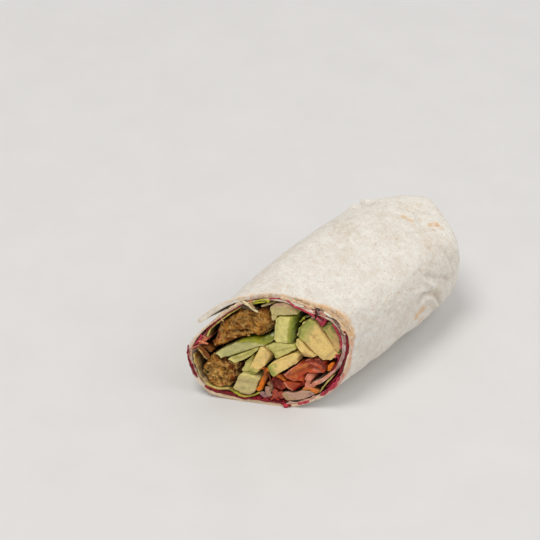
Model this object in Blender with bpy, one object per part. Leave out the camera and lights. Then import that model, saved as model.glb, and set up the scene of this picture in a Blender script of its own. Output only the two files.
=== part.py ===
"""Half of a falafel wrap: a flour tortilla rolled round its filling and cut across at a slant.

The half lies on its flat underside. +Y runs from the cut face to the folded end, +X to the right of
the cut face, +Z up, and the origin is the middle of the underside. Every filling that shows at the
cut is a solid of its own that runs through the roll to the folded end.

Sections are drawn as the cut shows them, in millimetres: u to the right, v up from the surface. One
rule, carry(), takes a section point along the roll, so pieces that are apart at the cut stay apart.
"""

import math

import bmesh
import bpy
from mathutils import Vector

MM = 0.001

# Driving dimensions, in millimetres unless a name says otherwise.
CUT_SLANT_ACROSS = 0.55        # how far the cut face runs back for each millimetre to the right
CUT_SLANT_UP = 0.25            # and for each millimetre up
ROLL_HEIGHT = 50.0
CUT_MIDDLE_HEIGHT = 0.5 * ROLL_HEIGHT
END_REACH = 93.5               # from the middle of the cut to the folded end
END_LEAN = 0.12                # the folded end leans out at the top
END_TURN = 0.05                # and reaches further on the right
END_SETBACK = 0.36             # its left corner is folded back
SETBACK_START = -3.0
END_ROUNDNESS = 3.5            # how late the folded end closes: higher is blunter
TIP_WIDTH = 0.15               # the flat left at the very end, as a share of the roll
TIP_HEIGHT = 0.30
TIP_LIFT = 9.0                 # height the end closes towards
CORNER_REACH = 16.0            # a corner of the last fold stands out at the top of the end
CORNER_AT = 4.0
CORNER_WIDTH = 24.0
CORNER_LOWEST = 28.0
CORNER_FADE = 1.2              # how soon the corner is lost as the end closes
BELLY_WIDTH = 0.085            # how much wider the middle is than the cut
BELLY_HEIGHT = 0.03
BELLY_SHIFT = 0.9
BELLY_FULL_AT = 0.45           # share of the length where the belly is full
BELLY_LOSS = 0.35              # share of the belly lost again before the folded end
BELLY_LOSS_FROM = 0.62
BELLY_LOSS_OVER = 0.30
END_DROP = 0.11                # how much lower the top is at the folded end
END_DROP_FROM = 0.50           # share of the length where it starts to fall
SHEET_THICKNESS = 1.5
UNDER_THICKNESS = 0.8          # the sheet where it lies pressed under its own free edge
UNDER_FROM = 0.56              # shares of the sheet's line: pressed from here on,
INNER_END_FROM = 0.88          # and full again towards its inner end
INNER_END_THICKNESS = 1.5
EDGE_ROUNDNESS = 0.8           # how far a strip's end stands out, in half thicknesses
CLEARANCE = 0.34               # between two pieces
FLAP_SHUT_AT = 0.12            # the free edge lies down over this share of the length
STATIONS = (0.0, 0.12, 0.32, 0.58, 0.84)   # shares of the length where sections stand
FOLD_START = 0.846             # the folded end begins just behind the filling
WALL_END = 0.88                # the rolled wall ends inside the folded end
FOLD_RINGS = 8
FOLD_UNDER = 0.30              # the folded end starts this far inside the sheet's middle line
FOLD_OVER = 0.65               # and comes out this far over it, both in sheet thicknesses

# The sheet's middle line at the cut: from the free edge at the upper left, over the top, down the
# right, along the underside, up the left, under the free edge and on inside to its inner end.
FREE_EDGE_OPEN = ((-26.3, 34.4), (-22.0, 39.5), (-17.6, 43.4))
FREE_EDGE_SHUT = ((-23.6, 34.3), (-20.9, 38.1), (-17.3, 42.4))
OUTER_TURN = (
    (-12.0, 46.5), (-5.5, 48.75), (1.0, 49.3), (7.5, 48.3), (14.0, 46.6), (20.2, 44.9),
    (24.2, 41.5), (26.6, 35.5), (27.6, 29.0), (27.5, 21.0), (26.1, 14.8), (23.9, 10.5),
    (20.1, 6.5), (15.0, 2.6), (10.0, 0.75), (3.0, 0.75), (-4.0, 0.75), (-11.0, 0.75),
    (-18.3, 2.3), (-22.7, 5.6), (-26.0, 11.8), (-28.8, 19.0), (-27.9, 25.5), (-24.6, 30.6),
)
INNER_TURN = (
    (-20.6, 35.4), (-16.4, 40.9), (-11.4, 44.9), (-5.2, 47.2), (1.0, 47.7), (5.4, 46.0),
    (10.5, 44.3), (15.3, 43.0), (19.8, 41.0), (22.6, 37.9), (24.5, 33.5), (25.3, 28.5),
    (25.0, 23.8), (23.9, 20.0), (21.9, 16.4), (19.6, 13.2), (17.5, 11.6),
)

# Filling outlines at the cut. Rounded ones run smoothly through their points, cut vegetables keep
# straight sides with eased corners, and leaves are strips of a given thickness along a line.
ROUND = {
    "falafel_upper": ("falafel", 0.8, (
        (-13.4, 40.3), (-11.0, 40.8), (-8.5, 40.7), (-6.0, 41.7), (-4.0, 41.5), (-2.9, 39.0),
        (-1.9, 36.6), (-1.6, 34.0), (-2.8, 31.2), (-4.8, 29.9), (-8.0, 29.9), (-11.0, 28.6),
        (-14.0, 26.6), (-17.0, 24.4), (-19.8, 22.9), (-21.3, 24.6), (-20.6, 27.0),
        (-20.4, 30.0), (-19.9, 33.2), (-18.0, 35.3), (-16.0, 37.4))),
    "falafel_lower": ("falafel", 0.2, (
        (-21.8, 17.0), (-20.2, 19.3), (-18.6, 19.4), (-16.6, 18.0), (-14.8, 17.3),
        (-12.6, 16.4), (-10.4, 15.6), (-9.8, 13.0), (-10.4, 10.0), (-11.0, 7.6),
        (-12.6, 6.0), (-15.0, 5.3), (-18.0, 5.5), (-20.2, 7.2), (-22.0, 10.0), (-23.0, 13.2))),
    "beet_spread_left": ("beet_spread", 0.3, (
        (-27.2, 20.3), (-26.9, 23.2), (-25.6, 26.6), (-24.0, 28.9), (-23.7, 27.2),
        (-22.8, 25.4), (-24.4, 23.8), (-26.0, 22.3))),
    "beet_spread_bottom_left": ("beet_spread", 0.2, (
        (-18.8, 4.1), (-17.0, 3.75), (-14.0, 3.6), (-12.0, 3.9), (-10.6, 3.3), (-9.0, 2.1),
        (-12.0, 2.0), (-15.0, 2.4), (-17.4, 3.3))),
    "beet_spread_bottom_right": ("beet_spread", 0.1, (
        (-3.3, 2.0), (-2.0, 2.6), (0.2, 3.9), (2.6, 3.5), (4.6, 3.0), (7.2, 2.6), (8.8, 2.0),
        (3.0, 1.95))),
    "beet_spread_right": ("beet_spread", 0.6, (
        (21.1, 9.7), (22.5, 12.9), (24.2, 16.2), (24.9, 18.6), (25.7, 22.0), (26.3, 21.4),
        (25.9, 18.0), (24.6, 14.7), (22.8, 11.3))),
    "beet_spread_top": ("beet_spread", 0.2, (
        (13.2, 40.9), (14.4, 41.9), (16.4, 41.6), (17.5, 40.6), (16.4, 38.3), (15.2, 38.8))),
    "tomato_large": ("tomato", 0.0, (
        (6.6, 14.6), (8.3, 17.3), (10.9, 20.3), (13.6, 22.2), (16.3, 22.8), (19.2, 22.2),
        (20.4, 20.0), (19.9, 17.8), (17.4, 16.9), (14.6, 16.9), (13.4, 15.2), (13.3, 12.9),
        (10.5, 12.4), (8.2, 12.9))),
    "tomato_fold": ("tomato", -0.3, (
        (14.1, 14.2), (14.7, 15.8), (16.0, 15.9), (16.5, 14.6), (16.0, 12.6), (15.8, 10.8),
        (14.9, 10.7), (14.4, 12.5))),
    "tomato_lower": ("tomato", 1.2, (
        (0.7, 8.8), (2.3, 11.8), (4.8, 12.2), (6.0, 10.2), (7.4, 8.3), (6.5, 6.6),
        (4.8, 4.9), (1.6, 4.9))),
    "avocado_large": ("avocado", 0.0, (
        (8.7, 33.2), (8.8, 36.2), (9.8, 38.7), (11.6, 40.0), (13.2, 39.4), (15.2, 37.0),
        (17.6, 34.0), (20.2, 30.8), (22.6, 27.4), (23.3, 25.8), (21.6, 24.0), (19.0, 23.6),
        (16.2, 24.9), (13.0, 27.8), (10.2, 31.0))),
    "avocado_right": ("avocado", 0.5, (
        (16.7, 37.0), (17.9, 39.3), (19.2, 39.4), (21.0, 36.7), (22.8, 33.0), (23.8, 29.6),
        (23.3, 28.0), (22.2, 28.8), (19.4, 33.2))),
    "carrot_right": ("carrot", 0.4, (
        (21.2, 19.0), (21.1, 20.6), (21.8, 21.7), (22.6, 21.5), (22.6, 20.2), (22.0, 18.9))),
}
BLOCKS = {
    "cucumber_left": ("cucumber", -0.3, (
        (-18.6, 21.2), (-11.6, 26.9), (-8.0, 28.6), (-4.4, 28.9), (-1.4, 31.3), (-0.2, 31.6),
        (0.1, 29.2), (-2.2, 27.0), (-4.6, 25.9), (-16.0, 18.9))),
    "cucumber_left_lower": ("cucumber", 0.1, (
        (-13.8, 18.8), (-11.6, 17.3), (-8.6, 19.2), (-5.9, 22.0), (-4.7, 24.3), (-5.3, 24.8),
        (-9.8, 21.9))),
    "cucumber_upright": ("cucumber", 0.0, (
        (0.4, 39.5), (4.6, 40.3), (7.6, 40.9), (8.0, 36.0), (7.9, 30.3), (5.8, 29.0),
        (1.0, 29.0), (0.2, 35.0))),
    "cucumber_top": ("cucumber", 0.4, (
        (-2.7, 43.3), (-1.3, 45.2), (1.5, 46.1), (4.4, 45.3), (7.0, 43.7), (6.4, 41.9),
        (0.2, 40.4), (-0.5, 38.9), (-1.4, 38.9))),
    "cucumber_middle": ("cucumber", 0.3, (
        (-1.7, 26.1), (0.9, 28.2), (7.5, 28.3), (8.5, 26.6), (6.4, 24.3), (3.9, 22.4),
        (2.6, 21.8), (1.2, 23.6))),
    "cucumber_lower": ("cucumber", -0.4, (
        (-8.9, 12.3), (-6.0, 12.5), (-2.2, 11.6), (-2.5, 8.0), (-2.9, 5.4), (-4.3, 4.1),
        (-7.0, 4.1), (-10.0, 5.8), (-9.9, 8.0))),
    "cucumber_sliver": ("cucumber", 1.5, (
        (-9.0, 13.4), (-8.4, 17.6), (-6.4, 20.0), (-6.3, 17.5), (-6.8, 13.6))),
    "avocado_lower": ("avocado", 0.4, (
        (8.7, 30.4), (9.6, 30.3), (12.4, 27.1), (15.3, 24.5), (14.2, 23.8), (12.0, 24.0),
        (9.5, 26.7), (8.7, 28.6))),
    "avocado_middle_left": ("avocado", -0.2, (
        (-3.5, 25.3), (-2.3, 25.1), (-0.4, 23.0), (-0.3, 20.4), (-1.3, 17.0), (-4.0, 13.1),
        (-6.0, 13.9), (-5.7, 17.5), (-4.8, 20.8))),
    "avocado_middle_right": ("avocado", -0.1, (
        (0.5, 17.1), (1.2, 18.8), (3.5, 21.1), (8.3, 24.1), (9.8, 23.1), (10.0, 20.7),
        (8.0, 18.4), (4.2, 14.7), (2.9, 13.6), (1.6, 14.6))),
    "tomato_wedge": ("tomato", 0.2, (
        (6.9, 10.9), (9.0, 11.5), (13.2, 11.0), (13.7, 10.2), (12.2, 8.8), (10.5, 7.5),
        (8.4, 8.5))),
    "onion_block": ("onion", -0.2, (
        (7.4, 6.0), (8.6, 6.6), (11.2, 6.8), (14.3, 8.6), (17.2, 8.5), (18.1, 7.4),
        (17.3, 6.3), (14.6, 4.5), (12.0, 3.6), (9.2, 3.0), (7.9, 4.5))),
}
STRIPS = {
    "lettuce_left": ("lettuce", 0.0, 0.6, (
        (-22.6, 27.7), (-22.0, 31.4), (-19.1, 35.4), (-16.2, 38.9), (-13.0, 42.3))),
    "lettuce_bottom": ("lettuce", -0.2, 0.6, (
        (-26.5, 18.8), (-24.6, 13.4), (-22.4, 8.9), (-20.4, 5.9), (-18.0, 4.6), (-15.0, 4.4),
        (-12.0, 4.7), (-10.2, 4.1), (-8.0, 2.8), (-6.0, 2.4), (-4.0, 2.8), (-2.4, 3.7),
        (-1.2, 4.9))),
    "lettuce_right": ("lettuce", 0.2, 0.5, (
        (19.9, 8.2), (20.7, 10.8), (22.15, 13.9), (23.6, 16.7))),
    "lettuce_curl": ("lettuce", 0.3, 1.1, (
        (-24.7, 21.3), (-23.5, 22.3), (-22.0, 21.6), (-21.0, 20.7))),
    "lettuce_fold": ("lettuce", 0.3, 0.7, (
        (-10.5, 43.8), (-8.2, 44.7), (-5.6, 45.8), (-3.9, 46.0))),
    "lettuce_rib": ("lettuce", 0.6, 0.8, ((-6.0, 43.5), (-4.0, 44.6), (-1.9, 45.9))),
    "lettuce_sprig": ("lettuce", 0.5, 0.6, ((8.8, 39.3), (9.6, 41.0), (11.2, 41.7))),
    "onion_strand": ("onion", -0.3, 0.8, ((-11.8, 42.9), (-9.8, 42.6), (-7.9, 42.2))),
    "carrot_long": ("carrot", 0.2, 1.3, (
        (-0.1, 15.3), (-0.2, 13.0), (-0.8, 9.6), (-1.5, 6.5))),
    "carrot_strand": ("carrot", -0.3, 0.7, ((15.0, 9.6), (16.9, 9.8), (18.8, 8.9))),
    "carrot_thread": ("carrot", 0.3, 0.6, ((4.4, 13.3), (5.6, 12.7), (6.6, 12.0))),
}
COLOURS = {
    "tortilla": ((0.80, 0.74, 0.64), 0.75),
    "beet_spread": ((0.42, 0.03, 0.12), 0.45),
    "lettuce": ((0.42, 0.46, 0.12), 0.55),
    "falafel": ((0.30, 0.17, 0.06), 0.85),
    "cucumber": ((0.56, 0.62, 0.30), 0.40),
    "avocado": ((0.68, 0.62, 0.26), 0.50),
    "tomato": ((0.60, 0.16, 0.07), 0.35),
    "carrot": ((0.80, 0.28, 0.04), 0.50),
    "onion": ((0.66, 0.50, 0.40), 0.40),
}


def ease(x):
    """0 below 0, 1 above 1 and a smooth step between."""
    x = min(max(x, 0.0), 1.0)
    return x * x * (3.0 - 2.0 * x)


def folded(share):
    """How far into the folded end: 0 along the filling and 1 at the very end."""
    return max(share - FOLD_START, 0.0) / (1.0 - FOLD_START)


def fullness(share):
    """How full the section still is: 1 along the roll, falling to 0 as the folded end closes."""
    return math.sqrt(1.0 - folded(share) ** END_ROUNDNESS)


def belly_at(share):
    """How far the roll has filled out behind the cut; it slims a little before the folded end."""
    loss = BELLY_LOSS * ease((share - BELLY_LOSS_FROM) / BELLY_LOSS_OVER)
    return ease(share / BELLY_FULL_AT) * (1.0 - loss)


def corner_at(u, v, share):
    """How much of the last fold's corner is at a section point: most at the top of the end."""
    across = max(1.0 - abs(u - CORNER_AT) / CORNER_WIDTH, 0.0)
    up = ease((v - CORNER_LOWEST) / (ROLL_HEIGHT - CORNER_LOWEST))
    return across * up * fullness(share) ** CORNER_FADE


def carry(u, v, share, back=0.0):
    """Take a section point to its place at a share of the roll's length, in metres.

    back is how far, in millimetres, the point lies behind the plane of the cut.
    """
    belly = belly_at(share)
    full = fullness(share)
    narrow = TIP_WIDTH + (1.0 - TIP_WIDTH) * full
    low = TIP_HEIGHT + (1.0 - TIP_HEIGHT) * full
    drop = END_DROP * ease((share - END_DROP_FROM) / (1.0 - END_DROP_FROM))
    x = (u + BELLY_SHIFT * belly) * (1.0 + BELLY_WIDTH * belly) * narrow
    z = v * (1.0 + BELLY_HEIGHT * belly - drop) * low + TIP_LIFT * (1.0 - low)
    cut = CUT_SLANT_ACROSS * u + CUT_SLANT_UP * (v - CUT_MIDDLE_HEIGHT)
    end = END_REACH + END_TURN * u + END_LEAN * (v - CUT_MIDDLE_HEIGHT)
    fold = CORNER_REACH * corner_at(u, v, share) - END_SETBACK * max(SETBACK_START - u * narrow, 0.0)
    y = cut + back + (end - cut) * share + fold * ease(folded(share))
    return Vector((x * MM, y * MM, z * MM))


def smooth_line(points, steps, closed):
    """Points along a smooth curve through the given ones (Catmull-Rom)."""
    count = len(points)
    out = []
    spans = count if closed else count - 1
    for i in range(spans):
        if closed:
            p0, p1, p2, p3 = (Vector(points[(i + k) % count]) for k in (-1, 0, 1, 2))
        else:
            p0, p1, p2, p3 = (Vector(points[min(max(i + k, 0), count - 1)]) for k in (-1, 0, 1, 2))
        for step in range(steps):
            t = step / steps
            out.append(0.5 * (2.0 * p1 + (p2 - p0) * t + (2.0 * p0 - 5.0 * p1 + 4.0 * p2 - p3) * t * t
                              + (3.0 * p1 - p0 - 3.0 * p2 + p3) * t ** 3))
    if not closed:
        out.append(Vector(points[-1]))
    return out


def eased_corners(points, share=0.2):
    """Cut every corner of a closed outline once, so that straight sides stay straight."""
    out = []
    for i, point in enumerate(points):
        here = Vector(point)
        before = Vector(points[i - 1])
        after = Vector(points[(i + 1) % len(points)])
        out.append(here.lerp(before, share))
        out.append(here.lerp(after, share))
    return out


def side_of(line, i, closed):
    """Unit vector to the left of a line at its point i."""
    count = len(line)
    before = line[i - 1] if closed or i > 0 else line[0]
    after = line[(i + 1) % count] if closed or i < count - 1 else line[-1]
    along = (after - before).normalized()
    return Vector((-along.y, along.x))


def area(line):
    """Signed area of a closed outline: positive when it runs anticlockwise."""
    return 0.5 * sum(a.x * b.y - b.x * a.y for a, b in zip(line, line[1:] + line[:1]))


def drawn_in(line, amount):
    """A closed outline moved inwards by an even amount."""
    inward = 1.0 if area(line) > 0.0 else -1.0
    return [point + side_of(line, i, True) * inward * amount for i, point in enumerate(line)]


def ribbon(line, half_thickness):
    """Closed outline of a strip along a line, with round ends. half_thickness takes the point's index."""
    left = []
    right = []
    for i, point in enumerate(line):
        side = side_of(line, i, False)
        left.append(point + side * half_thickness(i))
        right.append(point - side * half_thickness(i))
    start = line[0] + (line[0] - line[1]).normalized() * half_thickness(0) * EDGE_ROUNDNESS
    stop = line[-1] + (line[-1] - line[-2]).normalized() * half_thickness(len(line) - 1) * EDGE_ROUNDNESS
    return [start] + left + [stop] + right[::-1]


def loft(name, rings, colour):
    """Join rings of equal length into a closed solid with flat ends."""
    mesh = bmesh.new()
    rows = [[mesh.verts.new(point) for point in ring] for ring in rings]
    count = len(rows[0])
    for lower, upper in zip(rows, rows[1:]):
        for i in range(count):
            j = (i + 1) % count
            mesh.faces.new((lower[i], lower[j], upper[j], upper[i]))
    mesh.faces.new(rows[0][::-1])
    mesh.faces.new(rows[-1])
    mesh.normal_update()
    bmesh.ops.triangulate(mesh, faces=mesh.faces[:])
    bmesh.ops.recalc_face_normals(mesh, faces=mesh.faces[:])
    data = bpy.data.meshes.new(name)
    mesh.to_mesh(data)
    mesh.free()
    data.materials.append(material(colour))
    data.shade_smooth()
    data.set_sharp_from_angle(angle=math.radians(40.0))
    thing = bpy.data.objects.new(name, data)
    bpy.context.scene.collection.objects.link(thing)
    return thing


def material(name):
    """The finish of one food, made once."""
    if name in bpy.data.materials:
        return bpy.data.materials[name]
    colour, roughness = COLOURS[name]
    made = bpy.data.materials.new(name)
    made.use_nodes = True
    shader = made.node_tree.nodes["Principled BSDF"]
    shader.inputs["Base Color"].default_value = (*colour, 1.0)
    shader.inputs["Roughness"].default_value = roughness
    shader.inputs["Metallic"].default_value = 0.0
    return made


def sheet_line(share):
    """The sheet's middle line at a share of the length: the free edge lies down behind the cut."""
    shut = ease(share / FLAP_SHUT_AT)
    free = [Vector(a).lerp(Vector(b), shut) for a, b in zip(FREE_EDGE_OPEN, FREE_EDGE_SHUT)]
    return smooth_line([*free, *OUTER_TURN, *INNER_TURN], 2, False)


def sheet_half_thickness(i, count):
    """Half the sheet's thickness: full outside, pressed under the free edge, thick at its inner end."""
    along = i / (count - 1)
    under = ease((along - UNDER_FROM) / 0.04)
    inner_end = ease((along - INNER_END_FROM) / 0.10)
    thick = SHEET_THICKNESS + (UNDER_THICKNESS - SHEET_THICKNESS) * under
    thick += (INNER_END_THICKNESS - UNDER_THICKNESS) * inner_end
    return 0.5 * thick


def wall_ring(share):
    line = sheet_line(share)
    outline = ribbon(line, lambda i: sheet_half_thickness(i, len(line)))
    return [carry(p.x, max(p.y, 0.0), share) for p in outline]


def fold_share(ring):
    """Shares of the length where the folded end's rings stand, closer together as it closes."""
    return FOLD_START + (1.0 - FOLD_START) * math.sin(0.5 * math.pi * ring / FOLD_RINGS)


def folded_end_ring(share):
    """The roll's outer outline, which the folded end follows: a little inside the wall, then over it."""
    turn = smooth_line([FREE_EDGE_SHUT[2], *OUTER_TURN, INNER_TURN[0]], 2, True)
    out = ease((share - FOLD_START) / (WALL_END - FOLD_START))
    over = SHEET_THICKNESS * ((FOLD_UNDER + FOLD_OVER) * out - FOLD_UNDER)
    outline = drawn_in(turn, -over)
    return [carry(p.x, max(p.y, 0.0), share) for p in outline]


def make_tortilla():
    """The rolled sheet with its far end folded shut, as one body with the filling's space inside."""
    wall = loft("tortilla", [wall_ring(share) for share in (*STATIONS, WALL_END)], "tortilla")
    rings = [folded_end_ring(fold_share(ring)) for ring in range(FOLD_RINGS + 1)]
    folded_end = loft("folded_end", rings, "tortilla")
    folded_end.hide_render = True
    folded_end.display_type = "WIRE"
    join = wall.modifiers.new("folded end", "BOOLEAN")
    join.operation = "UNION"
    join.object = folded_end
    join.solver = "EXACT"


def make_filling(name, colour, back, outline):
    rings = []
    for share in STATIONS:
        set_back = back * (1.0 - ease(share / STATIONS[1]))
        rings.append([carry(p.x, p.y, share, set_back) for p in outline])
    loft(name, rings, colour)


def make_fillings():
    gap = 0.5 * CLEARANCE
    for name, (colour, back, points) in ROUND.items():
        make_filling(name, colour, back, drawn_in(smooth_line(points, 1, True), gap))
    for name, (colour, back, points) in BLOCKS.items():
        make_filling(name, colour, back, drawn_in(eased_corners(points), gap))
    for name, (colour, back, thick, points) in STRIPS.items():
        line = smooth_line(points, 1 if len(points) > 8 else 2, False)
        make_filling(name, colour, back, ribbon(line, lambda i, half=0.5 * thick: half))


def stand_over_origin():
    """Move every piece so that the origin is the middle of the wrap's underside."""
    bpy.context.view_layer.update()
    wrapped = [bpy.data.objects[name] for name in ("tortilla", "folded_end")]
    spots = [thing.matrix_world @ corner.co for thing in wrapped for corner in thing.data.vertices]
    middle_x = 0.5 * (min(spot.x for spot in spots) + max(spot.x for spot in spots))
    middle_y = 0.5 * (min(spot.y for spot in spots) + max(spot.y for spot in spots))
    for thing in bpy.data.objects:
        thing.location = (-middle_x, -middle_y, 0.0)


def main():
    for thing in list(bpy.data.objects):
        bpy.data.objects.remove(thing)
    make_tortilla()
    make_fillings()
    stand_over_origin()


main()
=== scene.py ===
"""Half of a falafel wrap, dressed for the table: a flour tortilla round falafel, salad and beet spread.

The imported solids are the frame. Every solid is replaced by a finer piece that keeps its section at the
cut, which is read from the frame, and runs back along the roll by the same rule as the solid. Sections
are in millimetres: u to the right of the cut face, v up from the table.
"""

import math

import bpy
import numpy as np
from bpy.props import FloatProperty, FloatVectorProperty, PointerProperty
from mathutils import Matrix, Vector
from mathutils.geometry import delaunay_2d_cdt


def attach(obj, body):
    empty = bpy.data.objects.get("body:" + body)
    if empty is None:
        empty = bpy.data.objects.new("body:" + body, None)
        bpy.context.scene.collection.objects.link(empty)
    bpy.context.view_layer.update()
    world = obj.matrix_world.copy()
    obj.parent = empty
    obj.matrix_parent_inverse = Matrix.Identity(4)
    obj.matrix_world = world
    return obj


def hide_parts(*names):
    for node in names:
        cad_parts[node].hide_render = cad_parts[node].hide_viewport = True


bl_info = {
    "name": "Falafel Wrap",
    "version": (1, 0, 0),
    "blender": (4, 5, 0),
    "location": "3D Viewport > Sidebar > Wrap",
    "description": "Builds the fine pieces, finishes and stage of half a falafel wrap over its solids",
    "category": "Add Mesh",
}

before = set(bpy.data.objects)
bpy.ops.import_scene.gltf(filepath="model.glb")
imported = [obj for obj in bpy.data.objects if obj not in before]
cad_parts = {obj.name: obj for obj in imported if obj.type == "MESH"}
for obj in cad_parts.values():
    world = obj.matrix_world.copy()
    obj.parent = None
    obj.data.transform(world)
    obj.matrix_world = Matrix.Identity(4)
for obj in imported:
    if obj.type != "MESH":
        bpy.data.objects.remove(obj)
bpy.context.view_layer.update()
MM = 0.001

# The roll's own rule, in millimetres unless a name says otherwise: it carries a section along the roll.
CUT_SLANT_ACROSS = 0.55        # how far the cut face runs back for each millimetre to the right
CUT_SLANT_UP = 0.25            # and for each millimetre up
ROLL_HEIGHT = 50.0             # of the section at the cut
CUT_MIDDLE_HEIGHT = 0.5 * ROLL_HEIGHT
ON_CUT = 0.05                  # corners nearer the cut than this lie on it
CUT_MIDDLE = (-0.384, -42.833)  # where the middle of the cut stands over the table
END_REACH = 93.5               # from the middle of the cut to the far end
END_LEAN = 0.12                # how far the far end runs back for each millimetre up
END_TURN = 0.05                # and for each millimetre to the right
END_SETBACK = 0.36             # how far its left side comes forward for each millimetre
SETBACK_START = -3.0           # and from where across the section
END_ROUNDNESS = 3.5            # how late the far end rounds in
TIP_WIDTH = 0.15               # the share of the width that is left at the very end
TIP_HEIGHT = 0.30              # and of the height
TIP_LIFT = 9.0                 # the height that the end closes towards
CORNER_REACH = 16.0            # how far the fold's upper corner sticks out
CORNER_AT = 4.0                # its middle across the section
CORNER_WIDTH = 24.0            # its half width
CORNER_LOWEST = 28.0           # the height from which it sticks out
CORNER_FADE = 1.2              # how fast it shrinks towards the very end
BELLY_WIDTH = 0.085            # how much wider the roll grows behind the cut, a share
BELLY_HEIGHT = 0.03            # how much higher, a share
BELLY_SHIFT = 0.9              # how far it moves to the right
BELLY_FULL_AT = 0.45           # the share of the roll's length where it is widest
BELLY_LOSS = 0.35              # the share of the belly that is lost again
BELLY_LOSS_FROM = 0.62         # from this share of the roll's length
BELLY_LOSS_OVER = 0.30         # over this share
END_DROP = 0.11                # how much lower the far end lies, a share
END_DROP_FROM = 0.50           # from this share of the roll's length
SHEET_THICKNESS = 1.5
UNDER_THICKNESS = 0.8          # of the turn beneath
FREE_EDGE_EXTRA = 0.55         # how much thicker the sheet is at its free edge by the cut
INNER_END_FROM = 0.88          # where its inner end thickens again, a share of its line
FLAP_SHUT_AT = 0.12            # the share of the roll's length where the free edge lies down
FOLD_START = 0.846             # where the far end starts to close, a share
WALL_END = 0.88                # where the wall ends inside the folded end, a share
FILLING_END = 0.84             # where the fillings end, a share
FREE_EDGE_TIP = (-26.8, 33.9)  # at the cut
FREE_EDGE_SHUT = ((-23.6, 34.3), (-20.9, 38.1), (-17.3, 42.4))
OUTER_TURN_SHARE = 0.56        # the part of the sheet's line that is outside

# Colours as they look in daylight, 0 to 255 red, green and blue; a few also serve as painted shade or
# painted glints, as the notes beside them say.
PALETTE = {
    "dough": (231, 227, 219),
    "dough_white": (244, 240, 233),
    "dough_beige": (210, 196, 176),
    "dough_toast": (224, 180, 128),
    "dough_brown": (196, 146, 96),
    "dough_pink": (206, 136, 116),
    "dough_grey": (166, 138, 124),
    "dough_damp": (196, 172, 138),
    "rim_tan": (242, 202, 156),
    "fold_cream": (248, 238, 218),
    "rim_brown": (190, 150, 112),
    "rim_mauve": (178, 128, 120),
    "beet": (126, 14, 28),
    "beet_bright": (190, 58, 78),
    "beet_dark": (88, 12, 26),
    "beet_wedge": (156, 32, 54),
    "leaf": (190, 184, 58),
    "leaf_pale": (192, 166, 96),
    "leaf_lit": (222, 202, 116),
    "leaf_straw": (180, 156, 72),
    "leaf_olive": (150, 128, 74),
    "leaf_brown": (127, 70, 11),
    "leaf_tan": (180, 142, 84),
    "leaf_deep": (92, 96, 28),
    # painted shadow: dark olive-brown for leaves and strands that lie in the shade of the gaps between
    # pieces
    "shadow_olive": (88, 66, 30),
    "crumb": (190, 130, 52),
    "crumb_light": (222, 172, 96),
    # dark crumb, and also painted shade in the dents of the falafel and in the gap beside the lettuce
    "crumb_dark_and_shade": (82, 52, 20),
    "crust": (150, 68, 14),
    # dark crust, and also painted shadow in the dents and gaps beside the falafel and the carrot
    "crust_dark_and_shade": (104, 46, 8),
    "herb": (40, 56, 18),
    "cucumber": (198, 192, 126),
    "cucumber_soft": (212, 200, 116),
    "cucumber_pale": (230, 218, 134),
    "cucumber_lime": (158, 157, 34),
    "cucumber_green": (152, 149, 56),
    "cucumber_skin": (118, 130, 12),
    # cucumber skin in painted shade: where it turns away from the cut, and where it runs in under the
    # falafel
    "shaded_cucumber_skin": (46, 54, 4),
    "cucumber_tan": (208, 190, 128),
    "avocado": (246, 212, 132),
    "avocado_soft": (204, 192, 112),
    "avocado_tan": (214, 178, 112),
    "avocado_green": (176, 180, 82),
    "avocado_deep": (115, 126, 47),
    "tomato": (188, 78, 36),
    # pale tomato flesh, and also painted glints and sheen on the wet tomato
    "tomato_pale_and_glint": (226, 140, 112),
    "tomato_deep": (178, 44, 18),
    "tomato_wet": (122, 32, 14),
    "tomato_soft": (168, 72, 52),
    "tomato_dark": (99, 23, 10),
    "carrot": (236, 124, 18),
    "carrot_pale": (222, 133, 67),
    "carrot_deep": (162, 84, 20),
    "shred": (214, 128, 94),
    "onion": (200, 158, 132),
    "onion_tan": (186, 152, 104),
    "onion_mauve": (160, 116, 112),
    "onion_soft": (180, 136, 114),
    "onion_cream": (226, 206, 164),
}


def linear(colour):
    """A daylight colour as the linear values that Blender's shaders take."""
    share = np.asarray(colour, float) / 255.0
    return np.where(share <= 0.04045, share / 12.92, ((share + 0.055) / 1.055) ** 2.4)


# ---------------------------------------------------------------- section geometry


def ease(x, start=0.0, over=1.0):
    """0 up to a start, 1 from a stretch later on, and a smooth step between."""
    x = np.clip((x - start) / over, 0.0, 1.0)
    return x * x * (3.0 - 2.0 * x)


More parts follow.
